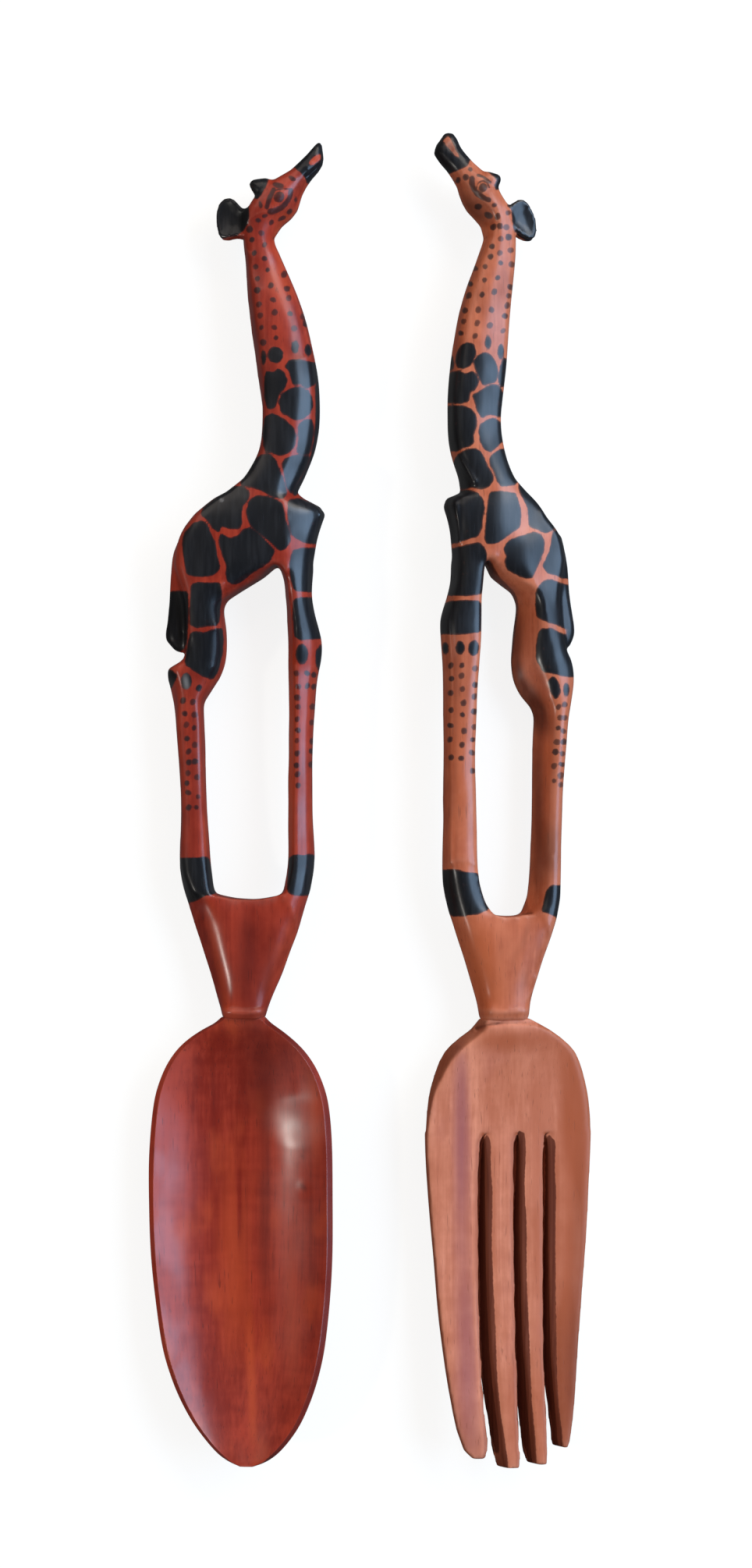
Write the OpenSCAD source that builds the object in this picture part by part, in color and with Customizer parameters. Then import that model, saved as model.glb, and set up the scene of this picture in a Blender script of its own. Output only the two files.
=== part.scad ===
// A pair of carved wooden salad servers, lying side by side on a table.
// The handle of each is a giraffe. The two giraffes face each other.
// Each server is described in its own frame: across, along from the tip, and out of the face.

/* [Pair] */
// Length of the fork, from tine tips to muzzle
server_l = 341; // [300:1:380]
// Distance between the long axes of the two servers
spacing = 68.6; // [62:0.2:90]
// Thickness of a giraffe at its body
body_t = 17; // [15:0.5:19]
// How far the spoon is rolled onto its outer side, in degrees
spoon_roll = 5; // [0:0.5:8]
// How far the fork is rolled onto its outer side, in degrees
fork_roll = 7; // [0:0.5:8]

/* [Spoon bowl] */
// Thickness of the bowl's rim
rim_t = 1.4; // [1.2:0.1:2.4]
// Depth of the hollow at its deepest
hollow_d = 7.8; // [5:0.2:8.6]

/* [Fork tines] */
// Thickness of the fork where the slots begin
plate_t = 8.6; // [7:0.2:9]
// Sideways lean of the sawn slots, as a share of their depth
slot_lean = 0.40; // [0:0.02:0.44]

/* [Giraffe details] */
// Thickness of an ear
ear_t = 1.9; // [1.4:0.1:2.4]
// How far the ears lean towards each other, in degrees
ear_lean = 14; // [4:1:18]
// Thickness of a horn at its root
horn_d = 4.8; // [3.6:0.2:5.2]

/* [Hidden] */

// Colours of the two woods and of the paint
spoon_wood = [0.47, 0.16, 0.10];
fork_wood = [0.66, 0.35, 0.21];
paint = [0.10, 0.10, 0.11];

// The forms below are drawn for a fork of this length and a body of this thickness
drawn_l = 341;
drawn_t = 17;
grow = server_l / drawn_l;
swell = body_t / drawn_t;

// Height of a server's middle plane above the table
lie_h = 8.6;
// Shift of both axes that centres the pair
axis_shift = 1.3;
// Largest distance between two neighbouring sections, and the number of points in a section
section_step = 3.4;
sides = 22;
back_sides = 10;
bowl_sides = 18;
$fn = 48;
// Rounding of a whittled edge, and the rise of a whittled face as a share of its width
whittle_r = 1.1;
crown = 0.02;
// The narrowest face that is left between two cuts
least_face = 0.4;
// How far the bowl's rim falls to the outside and rises to the inside, and the outside's squareness
rim_fall = 1.2;
rim_rise = 0.3;
bowl_e = 2.3;
// Height of a tine's rounded edge, and squareness of the face and back of a tine and of the root's back
tine_edge = 0.9;
face_e = 5;
outer_tine_e = 3.4;
inner_tine_e = 5;
root_e = 2.3;
// How much more a tine's left wall leans than its right one, so that a slot narrows to the back
wall_lean = 1.3;
// A tine's and a bowl's largest distances between two neighbouring sections
tine_step = 7;
bowl_step = 5;
// A size larger than any part
far = 600;

// Heights where one carved zone ends and the next begins
above_heads = 345;
poll = 314;
withers = 248.8;
tail_root = 238.2;
spoon_tail_tip = 208;
fork_tail_tip = 209.4;
spoon_belly = 230.2;
spoon_hock = 195.2;
spoon_knee = 206.2;
spoon_hoof = 155.4;
spoon_crotch = 146;
spoon_collar = 114;
fork_belly = 231.6;
fork_hock = 191.6;
fork_knee = 206.2;
fork_front_hoof_top = 152.8;
fork_hind_hoof_top = 148.2;
fork_crotch = 140.8;
fork_collar = 113.6;
slot_top = 85;

// Sections of the giraffes, from the top down:
// height, left edge, right edge, half thickness, squareness
spoon_trunk = [
    [338.4, 20.0, 21.0, 1.2, 2.2],
    [337.2, 18.9, 21.1, 2.2, 2.4],
    [335.2, 17.1, 21.4, 3.0, 2.4],
    [333.2, 15.0, 21.5, 3.5, 2.4],
    [331.2, 12.8, 20.3, 4.0, 2.4],
    [329.2, 9.2, 18.4, 4.6, 2.4],
    [327.2, 6.2, 17.0, 5.2, 2.4],
    [325.2, 4.4, 16.0, 5.7, 2.4],
    [323.2, 3.0, 15.4, 6.0, 2.4],
    [321.2, 1.8, 14.8, 6.0, 2.4],
    [319.2, 1.0, 13.2, 5.8, 2.4],
    [317.2, 0.8, 10.8, 5.4, 2.3],
    [poll, 0.6, 8.6, 5.0, 2.2],
    [307.2, 1.2, 11.4, 5.4, 2.2],
    [295.2, 2.2, 16.3, 6.4, 2.2],
    [279.2, 4.4, 19.9, 7.0, 2.2],
    [268.2, 5.9, 20.5, 7.2, 2.2],
    [259.2, 5.0, 19.2, 7.4, 2.3],
    [252.2, 1.0, 16.4, 7.8, 2.4],
    [withers, -3.3, 14.6, 8.0, 2.5],
    [247.2, -6.4, 16.4, 8.2, 2.6],
    [245.2, -9.1, 20.6, 8.3, 2.7],
    [243.2, -11.6, 22.0, 8.4, 2.7],
    [240.2, -14.0, 21.0, 8.5, 2.8],
    [236.2, -16.0, 19.8, 8.5, 2.8],
    [spoon_belly, -17.0, 18.8, 8.4, 2.8],
];
spoon_hind = [
    [spoon_belly, -17.0, 9.8, 8.4, 2.8],
    [227.2, -16.0, 6.2, 8.3, 2.7],
    [223.2, -14.8, -0.4, 8.1, 2.6],
    [221.2, -14.4, -3.4, 8.0, 2.6],
    [219.2, -14.2, -4.4, 7.9, 2.6],
    [214.2, -14.0, -3.7, 7.6, 2.6],
    [208.6, -13.8, -3.6, 7.2, 2.6],
    [206.0, -14.8, -3.8, 7.0, 2.6],
    [203.6, -18.9, -4.3, 6.8, 2.6],
    [201.2, -18.8, -5.3, 6.5, 2.7],
    [198.2, -18.0, -7.4, 6.2, 2.8],
    [spoon_hock, -17.4, -9.5, 5.9, 3.0],
    [190.2, -16.8, -9.4, 5.5, 3.2],
    [171.2, -15.5, -8.9, 5.1, 3.2],
    [spoon_hoof, -15.7, -7.9, 5.2, 3.2],
    [151.2, -15.5, -7.5, 5.3, 3.2],
    [148.2, -14.9, -7.1, 5.5, 3.2],
    [spoon_crotch, -14.3, -6.6, 5.6, 3.2],
];
spoon_front = [
    [spoon_belly, 10.0, 18.8, 8.4, 2.8],
    [226.2, 11.2, 18.4, 8.0, 2.8],
    [222.2, 11.5, 18.3, 7.6, 2.8],
    [217.2, 11.9, 19.2, 7.2, 2.8],
    [211.2, 12.2, 20.8, 6.8, 2.8],
    [spoon_knee, 12.2, 20.8, 6.5, 2.8],
    [199.2, 12.4, 19.5, 6.0, 3.0],
    [183.2, 12.4, 18.6, 5.4, 3.2],
    [167.2, 12.2, 18.6, 5.2, 3.2],
    [spoon_hoof, 12.2, 19.0, 5.3, 3.2],
    [151.2, 11.8, 18.7, 5.4, 3.2],
    [148.2, 11.3, 18.2, 5.5, 3.2],
    [spoon_crotch, 10.8, 17.8, 5.6, 3.2],
];
spoon_tail_rows = [
    [tail_root, -15.2, -11.4, 2.6, 2.4],
    [233.2, -17.4, -12.4, 3.0, 2.4],
    [227.2, -18.1, -12.6, 3.2, 2.4],
    [221.2, -18.4, -12.8, 3.4, 2.4],
    [215.2, -18.9, -12.8, 3.6, 2.4],
    [211.2, -19.3, -13.0, 3.4, 2.4],
    [spoon_tail_tip, -16.6, -13.2, 2.6, 2.4],
];
spoon_yoke_rows = [
    [spoon_crotch, -14.3, 17.8, 5.7, 3.6],
    [135.2, -11.1, 14.4, 5.8, 3.4],
    [125.2, -7.8, 10.6, 5.4, 3.2],
    [118.2, -5.7, 7.8, 4.8, 2.8],
    [115.6, -4.8, 6.8, 5.1, 2.7],
    [spoon_collar, -4.6, 6.6, 4.5, 2.6],
];
fork_trunk = [
    [340.8, -16.4, -14.4, 1.4, 2.2],
    [339.2, -17.4, -13.2, 2.3, 2.4],
    [337.2, -18.9, -12.4, 3.0, 2.4],
    [335.6, -19.3, -11.2, 3.4, 2.4],
    [333.2, -17.6, -9.0, 3.8, 2.4],
    [331.2, -15.8, -6.8, 4.3, 2.4],
    [329.2, -14.4, -4.4, 4.9, 2.4],
    [327.2, -13.2, -2.8, 5.4, 2.4],
    [325.2, -12.6, -2.0, 5.8, 2.4],
    [323.2, -11.8, -0.8, 6.0, 2.4],
    [321.2, -10.6, 0.4, 6.0, 2.4],
    [319.2, -8.6, 1.2, 5.8, 2.4],
    [317.2, -6.9, 1.8, 5.4, 2.3],
    [poll, -6.2, 2.0, 5.0, 2.2],
    [307.2, -8.6, 1.8, 5.4, 2.2],
    [295.2, -12.6, 0.5, 6.4, 2.2],
    [279.2, -15.2, -0.7, 7.0, 2.2],
    [267.2, -15.6, -2.0, 7.2, 2.2],
    [259.2, -14.9, -0.9, 7.4, 2.3],
    [252.2, -12.7, 1.7, 7.8, 2.4],
    [withers, -12.2, 4.8, 8.0, 2.5],
    [247.2, -15.9, 6.4, 8.2, 2.6],
    [245.2, -16.7, 8.1, 8.3, 2.7],
    [242.2, -15.8, 10.1, 8.4, 2.7],
    [238.2, -14.9, 13.2, 8.5, 2.8],
    [fork_belly, -14.4, 14.6, 8.4, 2.8],
];
fork_hind = [
    [fork_belly, -6.2, 14.6, 8.4, 2.8],
    [227.2, -4.4, 14.0, 8.3, 2.7],
    [225.2, -1.8, 13.6, 8.2, 2.6],
    [223.2, 1.2, 13.4, 8.1, 2.6],
    [220.2, 2.4, 13.5, 7.9, 2.6],
    [214.2, 1.7, 14.0, 7.6, 2.6],
    [208.2, 1.0, 15.3, 7.2, 2.6],
    [206.0, 0.8, 16.4, 7.0, 2.6],
    [203.6, 1.0, 17.0, 6.8, 2.6],
    [200.2, 1.7, 17.2, 6.5, 2.7],
    [196.6, 3.5, 16.7, 6.2, 2.8],
    [193.8, 6.0, 16.2, 6.0, 2.9],
    [fork_hock, 6.9, 15.8, 5.8, 3.0],
    [183.2, 6.6, 15.0, 5.4, 3.2],
    [167.2, 6.4, 14.0, 5.1, 3.2],
    [fork_hind_hoof_top, 5.6, 13.6, 5.2, 3.2],
    [144.2, 4.8, 13.4, 5.4, 3.2],
    [fork_crotch, 3.4, 12.8, 5.6, 3.2],
];
fork_front = [
    [fork_belly, -14.4, -6.6, 8.4, 2.8],
    [226.2, -14.5, -7.0, 8.0, 2.8],
    [221.2, -15.8, -7.4, 7.6, 2.8],
    [216.2, -17.4, -7.4, 7.2, 2.8],
    [211.2, -17.2, -7.4, 6.9, 2.8],
    [fork_knee, -16.8, -7.8, 6.5, 2.8],
    [199.2, -16.6, -8.2, 6.0, 3.0],
    [183.2, -16.5, -8.6, 5.4, 3.2],
    [167.2, -16.6, -8.4, 5.2, 3.2],
    [fork_front_hoof_top, -16.8, -8.0, 5.3, 3.2],
    [147.2, -16.5, -7.2, 5.4, 3.2],
    [143.2, -15.7, -5.8, 5.5, 3.2],
    [fork_crotch, -15.1, -4.0, 5.6, 3.2],
];
fork_tail_rows = [
    [tail_root, 9.6, 13.8, 2.6, 2.4],
    [231.2, 10.6, 15.4, 3.0, 2.4],
    [223.2, 11.4, 15.9, 3.3, 2.4],
    [217.2, 12.0, 16.8, 3.5, 2.4],
    [212.6, 12.4, 17.3, 3.4, 2.4],
    [fork_tail_tip, 12.8, 15.8, 2.6, 2.4],
];
fork_yoke_rows = [
    [fork_crotch, -15.1, 12.8, 5.7, 3.6],
    [135.2, -13.2, 11.2, 5.8, 3.4],
    [125.2, -10.0, 7.8, 5.4, 3.2],
    [118.2, -8.1, 5.8, 4.9, 2.8],
    [115.6, -7.6, 5.4, 5.1, 2.7],
    [fork_collar, -7.4, 5.2, 4.5, 2.6],
];

// Cuts along the edges of the giraffes' faces. For the left edge and then for the right edge:
// how far in the cut begins on the face, how far it falls, and how far in the wall below it leans
spoon_trunk_cuts = [
    [338.4, 0.4, 0.4, 0.1, 0.4, 0.4, 0.1],
    [333.2, 1.6, 1.0, 0.4, 2.0, 1.2, 0.5],
    [325.2, 2.0, 1.4, 0.5, 3.6, 2.0, 1.4],
    [319.2, 1.6, 1.4, 0.4, 5.0, 3.6, 1.6],
    [poll, 1.6, 1.6, 0.8, 2.4, 1.8, 0.6],
    [307.2, 2.0, 2.0, 1.0, 3.0, 1.9, 0.6],
    [295.2, 2.2, 2.4, 1.2, 3.4, 2.0, 0.7],
    [279.2, 2.4, 2.6, 1.3, 5.0, 2.5, 0.9],
    [268.2, 1.4, 1.8, 0.5, 5.4, 2.7, 1.2],
    [259.2, 1.2, 1.6, 0.4, 5.2, 2.6, 1.3],
    [252.2, 1.4, 1.6, 0.4, 5.6, 2.8, 1.2],
    [withers, 1.6, 1.6, 0.4, 4.4, 2.6, 1.0],
    [243.2, 2.0, 1.8, 0.5, 9.0, 3.4, 1.4],
    [236.2, 2.4, 2.0, 0.6, 6.6, 3.0, 1.3],
    [spoon_belly, 2.4, 2.0, 0.6, 5.4, 2.8, 1.0],
];
spoon_hind_cuts = [
    [spoon_belly, 2.4, 2.0, 0.6, 1.0, 0.6, 0.3],
    [227.2, 2.2, 2.0, 0.6, 5.4, 3.0, 0.8],
    [223.2, 2.0, 1.8, 0.6, 4.6, 3.0, 0.8],
    [219.2, 2.0, 1.8, 0.6, 1.7, 1.4, 1.1],
    [206.0, 1.8, 1.6, 0.6, 1.6, 1.3, 1.1],
    [201.2, 3.2, 2.0, 2.0, 3.0, 2.4, 1.0],
    [spoon_hock, 2.6, 1.6, 1.6, 1.2, 1.0, 0.4],
    [190.2, 1.9, 1.2, 0.9, 0.9, 0.7, 0.2],
    [spoon_hoof, 2.0, 1.2, 1.0, 0.9, 0.7, 0.2],
    [spoon_crotch, 3.0, 1.8, 2.0, 0.9, 0.7, 0.2],
];
spoon_front_cuts = [
    [spoon_belly, 1.0, 0.8, 0.4, 5.4, 2.8, 1.0],
    [226.2, 2.6, 1.0, 2.0, 5.2, 2.8, 0.7],
    [217.2, 2.8, 1.0, 2.2, 4.4, 2.2, 0.8],
    [spoon_knee, 2.6, 1.0, 2.0, 5.6, 2.4, 1.2],
    [199.2, 2.4, 0.9, 1.9, 4.2, 2.0, 0.9],
    [183.2, 2.4, 0.9, 1.9, 3.6, 1.9, 0.6],
    [spoon_hoof, 2.2, 0.9, 1.7, 4.2, 1.9, 0.8],
    [spoon_crotch, 1.6, 0.8, 1.0, 3.8, 1.8, 1.0],
];
spoon_yoke_cuts = [
    [spoon_crotch, 5.0, 2.2, 1.6, 3.6, 1.9, 1.0],
    [140.0, 7.6, 2.8, 2.0, 4.0, 2.2, 1.2],
    [127.0, 5.6, 2.8, 1.8, 4.0, 2.4, 1.3],
    [119.0, 3.8, 2.4, 1.2, 3.2, 2.2, 1.0],
    [115.6, 2.0, 1.4, 0.6, 2.0, 1.4, 0.6],
    [spoon_collar, 1.6, 1.2, 0.5, 1.6, 1.2, 0.5],
];
fork_trunk_cuts = [
    [340.8, 0.4, 0.4, 0.1, 0.4, 0.4, 0.1],
    [335.6, 2.4, 1.6, 0.6, 1.8, 1.0, 0.4],
    [327.2, 3.0, 2.0, 0.8, 2.4, 1.2, 0.4],
    [321.2, 5.6, 3.6, 1.2, 3.4, 1.6, 0.4],
    [317.2, 3.4, 2.6, 0.8, 3.6, 1.6, 0.4],
    [poll, 1.8, 1.4, 0.6, 3.4, 1.5, 0.4],
    [307.2, 2.0, 1.5, 0.6, 4.2, 1.7, 0.4],
    [295.2, 2.2, 1.6, 0.7, 5.4, 2.0, 0.5],
    [279.2, 2.4, 1.7, 0.8, 6.0, 2.2, 0.5],
    [267.2, 2.2, 1.8, 0.8, 5.2, 2.0, 0.5],
    [259.2, 2.6, 2.0, 0.9, 4.6, 1.9, 0.5],
    [252.2, 3.6, 2.2, 1.2, 4.8, 1.9, 0.5],
    [withers, 3.6, 2.2, 1.2, 7.0, 2.1, 0.6],
    [243.2, 3.0, 2.0, 1.2, 13.0, 2.6, 0.7],
    [238.2, 3.0, 2.0, 1.0, 14.0, 2.8, 0.7],
    [fork_belly, 2.6, 1.8, 0.8, 13.0, 2.8, 0.7],
];
fork_hind_cuts = [
    [fork_belly, 1.0, 0.6, 0.3, 13.0, 2.8, 0.7],
    [227.2, 6.4, 3.4, 1.2, 9.6, 2.5, 0.7],
    [223.2, 5.4, 3.4, 1.6, 6.0, 2.0, 0.7],
    [220.2, 5.2, 3.6, 2.0, 4.6, 1.8, 0.8],
    [211.0, 6.4, 3.8, 2.4, 3.4, 1.6, 0.8],
    [206.0, 7.2, 4.0, 2.6, 3.6, 1.6, 0.8],
    [200.2, 8.4, 4.0, 3.4, 3.2, 1.5, 0.8],
    [196.6, 7.0, 3.4, 3.6, 2.6, 1.3, 0.7],
    [fork_hock, 4.8, 1.4, 3.6, 2.2, 1.2, 0.6],
    [183.2, 4.8, 1.2, 3.7, 2.0, 1.0, 0.5],
    [167.2, 4.2, 1.1, 3.3, 2.0, 1.0, 0.5],
    [fork_hind_hoof_top, 4.2, 1.1, 3.2, 2.0, 1.0, 0.5],
    [fork_crotch, 4.6, 1.2, 3.2, 2.2, 1.1, 0.6],
];
fork_front_cuts = [
    [fork_belly, 2.6, 1.8, 0.8, 0.8, 0.6, 0.2],
    [226.2, 2.2, 1.4, 0.8, 1.0, 0.7, 0.2],
    [216.2, 2.8, 1.5, 1.2, 1.4, 0.8, 0.2],
    [fork_knee, 2.8, 1.5, 1.3, 1.6, 0.8, 0.2],
    [183.2, 2.4, 1.2, 1.3, 2.4, 0.9, 0.3],
    [fork_front_hoof_top, 2.4, 1.2, 1.3, 2.4, 0.9, 0.3],
    [147.2, 3.0, 1.5, 1.6, 2.4, 0.9, 0.3],
    [fork_crotch, 3.6, 1.8, 2.0, 1.4, 0.7, 0.2],
];
fork_yoke_cuts = [
    [fork_crotch, 3.2, 1.7, 1.8, 2.6, 1.2, 0.5],
    [130.0, 3.2, 1.7, 2.0, 3.4, 1.6, 0.6],
    [118.6, 3.2, 1.7, 2.0, 2.6, 1.4, 0.5],
    [115.6, 2.4, 1.4, 1.4, 1.8, 1.2, 0.4],
    [fork_collar, 2.0, 1.2, 1.0, 1.6, 1.0, 0.4],
];

// Sections of the bowl, from the collar down:
// height, left rim, right rim, height of the rim, depth of the outside, share of the hollow
spoon_bowl_rows = [
    [spoon_collar, -4.6, 6.6, 3.2, 6.0, -0.04],
    [112.8, -6.6, 8.2, 3.1, 6.8, -0.02],
    [111.2, -10.2, 10.8, 3.0, 7.6, 0.04],
    [107.2, -15.5, 15.8, 3.0, 8.8, 0.28],
    [103.2, -18.4, 18.9, 3.0, 9.7, 0.48],
    [95.2, -21.6, 22.4, 3.0, 10.9, 0.74],
    [83.2, -23.1, 23.8, 3.0, 11.7, 0.92],
    [68.2, -23.5, 24.0, 3.0, 12.0, 1.00],
    [53.2, -22.9, 24.0, 3.1, 11.8, 0.98],
    [39.2, -21.4, 23.1, 3.4, 11.2, 0.90],
    [27.2, -19.2, 21.5, 3.8, 10.2, 0.77],
    [17.2, -15.5, 18.8, 4.2, 8.7, 0.58],
    [9.2, -10.9, 15.1, 4.5, 6.8, 0.35],
    [4.2, -6.8, 11.3, 4.7, 5.0, 0.16],
    [1.2, -3.4, 7.8, 4.8, 3.6, 0.02],
    [0, -0.2, 4.4, 4.8, 2.4, -0.03],
];

// Sections of the fork's root, from the collar down: height, left edge, right edge,
// height of the face, share of the plate's thickness, depth of the wall, slant of the left wall,
// and rise of the face's middle
fork_root_rows = [
    [fork_collar, -7.4, 5.2, 4.0, 1.05, 3.0, 1.6, 0.3],
    [111.2, -9.6, 10.8, 3.8, 1.08, 5.0, 3.4, 0.5],
    [107.2, -14.6, 16.0, 3.0, 1.08, 5.5, 3.3, 0.5],
    [103.2, -17.4, 18.6, 2.2, 1.07, 5.0, 2.3, 0.4],
    [95.2, -20.1, 20.9, 1.2, 1.04, 3.0, 1.0, 0.2],
    [88.2, -21.0, 21.7, 0.6, 1.01, 1.6, 0.5, 0.05],
    [slot_top, -21.2, 21.8, 0.4, 1.00, 1.2, 0.4, 0],
];
// Cut along the right edge of the root's face
root_cut = [1.2, 0.7, 0.2];
// The line that the plate follows from the root down to the tips:
// height, height of the face, share of the plate's thickness
plate_line = [
    [slot_top, 0.4, 1.00],
    [60, 0.0, 0.92],
    [40, 0.8, 0.88],
    [20, 2.6, 0.82],
    [6, 4.4, 0.74],
    [-0.6, 5.0, 0.62],
];

// The four tines from left to right: sections with height, left edge and right edge,
// and the share of the plate's thickness that the tine has
tines = [
    [[[slot_top, -21.2, -5.6], [82.2, -21.1, -6.7], [75, -20.8, -7.0], [55, -19.2, -7.2],
      [36, -17.6, -7.0], [19, -15.4, -6.4], [9, -13.5, -5.7], [4, -11.7, -5.6], [2, -9.6, -6.4]],
     0.90],
    [[[slot_top, -5.2, 2.9], [82.2, -4.8, 2.0], [75, -4.5, 1.9], [55, -4.2, 2.0],
      [36, -3.7, 2.2], [19, -2.7, 2.4], [9, -1.9, 2.6], [3, -1.3, 2.9], [-0.6, -0.7, 2.7]],
     1.04],
    [[[slot_top, 3.3, 10.1], [82.2, 4.2, 9.8], [75, 4.4, 9.7], [55, 4.5, 9.6],
      [36, 4.9, 9.4], [19, 5.7, 9.6], [9, 6.2, 9.9], [3, 6.6, 10.0], [0.1, 7.1, 9.7]],
     1.02],
    [[[slot_top, 10.7, 21.8], [82.2, 11.8, 21.7], [75, 12.1, 21.4], [55, 12.2, 20.4],
      [36, 12.5, 18.7], [19, 12.9, 17.3], [11, 13.2, 16.4], [6, 13.4, 15.5], [4.4, 13.9, 14.9]],
     0.94],
];

// Outlines of the ears: across and along, anticlockwise seen from the front
spoon_ear = [[3.8, 318.6], [2.4, 321.3], [0.6, 321.5], [-1.4, 323.7], [-3.4, 324.3],
             [-5.5, 323.0], [-6.4, 319.9], [-6.1, 316.2], [-5.3, 314.0], [-3.2, 313.8],
             [-1.0, 314.4], [0.6, 314.0], [2.2, 314.8], [3.6, 316.2]];
fork_ear = [[-1.2, 319.4], [-0.6, 317.0], [1.0, 316.2], [2.6, 314.9], [4.5, 313.8], [6.6, 313.7],
            [7.5, 315.7], [7.1, 318.6], [5.9, 321.3], [4.5, 323.3], [2.8, 323.8], [1.2, 323.0],
            [0.0, 322.0]];

// Horns: root and tip, across and along
spoon_horn = [[5.8, 326.5], [3.2, 327.7]];
fork_horn = [[-4.7, 328.2], [-2.6, 329.2]];
// Sections of a horn, from inside the head to the tip:
// share of the way from root to tip, half width, half thickness as a share of horn_d
horn_rows = [[-1.0, 3.6, 0.50], [0, 2.9, 0.50], [0.5, 2.0, 0.44], [0.95, 1.1, 0.30], [1.12, 0.5, 0.14]];
horn_sides = 16;
// Half the distance between the two horns, and between the two ears at their root
horn_gap = 2.9;
ear_gap = 4.0;

// Where the black of each muzzle begins: across, along, and the way it faces
spoon_muzzle_edge = [16.2, 331.4, 48];
fork_muzzle_edge = [-13.2, 332.6, 126];

// The round saddle between the hooves: across, radius, depth below the crotch
spoon_saddle = [2.2, 27, 1.4];
fork_saddle = [-0.3, 13, 0.6];

// A point on a smooth curve through a, b, c and d, between b and c
function between(a, b, c, d, t) =
    0.5 * (2 * b + (c - a) * t + (2 * a - 5 * b + 4 * c - d) * t * t
           + (3 * b - a - 3 * c + d) * t * t * t);

// The sections of a form with smooth ones put in between
function smoothed(rows, step = section_step) =
    let (last = len(rows) - 1)
    [for (i = [0 : last - 1])
        let (n = max(1, ceil(abs(rows[i][0] - rows[i + 1][0]) / step)))
        for (j = [0 : n - 1])
            between(rows[max(i - 1, 0)], rows[i], rows[i + 1], rows[min(i + 2, last)], j / n),
     rows[last]];

// The sections between two heights
function slice(rows, high, low) =
    [for (r = smoothed(rows)) if (r[0] <= high + 0.01 && r[0] >= low - 0.01) r];

// A rounded square wave: cosine or sine drawn out to the given squareness
function squared(s, e) = sign(s) * pow(abs(s), 2 / e);

// The points round an oval section, as of a tail
function oval_ring(r) =
    [for (i = [0 : sides - 1]) let (a = 360 * (i + 0.5) / sides)
        [(r[1] + r[2]) / 2 + (r[2] - r[1]) / 2 * squared(cos(a), r[4]),
         r[0],
         r[3] * swell * squared(sin(a), r[4])]];

// The cuts at a height
function cuts_at(cuts, h) = [for (k = [1 : 6]) lookup(h, [for (c = cuts) [c[0], c[k]]])];

// Three points that round off the corner q between p and n
function eased(p, q, n) =
    let (r = min(whittle_r, 0.45 * norm(p - q), 0.45 * norm(n - q)),
         a = q + (p - q) * r / norm(p - q),
         b = q + (n - q) * r / norm(n - q))
    [a, (a + 2 * q + b) / 4, b];

// The outline of a whittled section: from the right edge over the face to the left edge, and back
// below. It has its edges, the heights of its face, widest line and back, the cuts of its face, the
// squareness of its back, and the rise of the face's middle.
function whittled(left, right, face, waist, back, cut, e, rise) =
    let (squeeze = min(1, (right - left - least_face) / (cut[0] + cut[3])),
         fall = 0.8 * (face - waist),
         a = [right, waist],
         b = [right - cut[5] * squeeze, face - min(cut[4], fall)],
         c = [right - cut[3] * squeeze, face],
         top = [(left + cut[0] * squeeze + right - cut[3] * squeeze) / 2,
                face + rise],
         d = [left + cut[0] * squeeze, face],
         f = [left + cut[2] * squeeze, face - min(cut[1], fall)],
         g = [left, waist])
    concat([a], eased(a, b, c), eased(b, c, top), [top], eased(top, d, f), eased(d, f, g), [g],
        [for (i = [1 : back_sides - 1]) let (t = 180 + 180 * i / back_sides)
            [(left + right) / 2 + (right - left) / 2 * squared(cos(t), e),
             waist + (waist - back) * squared(sin(t), e)]]);

// The points round a giraffe's section
function limb_ring(r, cut) =
    [for (p = whittled(r[1], r[2], r[3], 0, -r[3], cut, r[4], crown * (r[2] - r[1])))
        [p[0], r[0], p[1] * swell]];

// The points round a section of the fork's root
function root_ring(r) =
    [for (p = whittled(r[1], r[2], r[3], r[3] - r[5], r[3] - plate_t * r[4],
                       concat([r[6], r[5] / 2, r[6] / 2], root_cut), root_e, r[7]))
        [p[0], r[0], p[1]]];

// The points round a section of the bowl: the outside from left to right, then the hollow back
function bowl_ring(r) =
    let (c = (r[1] + r[2]) / 2, h = (r[2] - r[1]) / 2, inner = h - min(rim_t, h / 3))
    concat(
        [for (i = [0 : bowl_sides]) let (a = 180 + 180 * i / bowl_sides)
            [c + h * squared(cos(a), bowl_e), r[0],
             r[3] - rim_fall + (r[4] - rim_fall) * squared(sin(a), bowl_e)]],
        [for (i = [0 : bowl_sides]) let (a = 180 * i / bowl_sides)
            [c + inner * cos(a), r[0], r[3] + rim_rise - hollow_d * r[5] * pow(sin(a), 2)]]);

// The points round a section of a tine, with a rounded back and leaning sides
function tine_ring(r, lean_l, lean_r, back_e) =
    let (t = plate_t * r[4], face = r[3], edge = min(tine_edge, t / 3))
    [for (i = [0 : sides - 1])
        let (a = 360 * (i + 0.5) / sides,
             w = sin(a) > 0 ? face - edge + edge * squared(sin(a), 3)
                            : face - edge + (t - edge) * squared(sin(a), back_e),
             lean = (face - w) * slot_lean,
             left = r[1] - lean * lean_l,
             right = r[2] - lean * lean_r)
        [(left + right) / 2 + (right - left) / 2 * squared(cos(a), sin(a) > 0 ? face_e : back_e),
         r[0], w]];

// The middle of a ring of points
function middle(ring) = [for (p = ring) 1] * ring / len(ring);

// A closed skin over rings of equal length, the first ring on top
module skin(rings) {
    n = len(rings[0]);
    last = len(rings) - 1;
    points = concat([for (ring = rings) each ring], [middle(rings[0]), middle(rings[last])]);
    top = n * (last + 1);
    polyhedron(points, concat(
        [for (k = [0 : last - 1]) for (i = [0 : n - 1]) let (j = (i + 1) % n)
            each [[k * n + i, (k + 1) * n + j, k * n + j],
                  [k * n + i, (k + 1) * n + i, (k + 1) * n + j]]],
        [for (i = [0 : n - 1]) [top, i, (i + 1) % n]],
        [for (i = [0 : n - 1]) [top + 1, last * n + (i + 1) % n, last * n + i]]));
}

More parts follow.
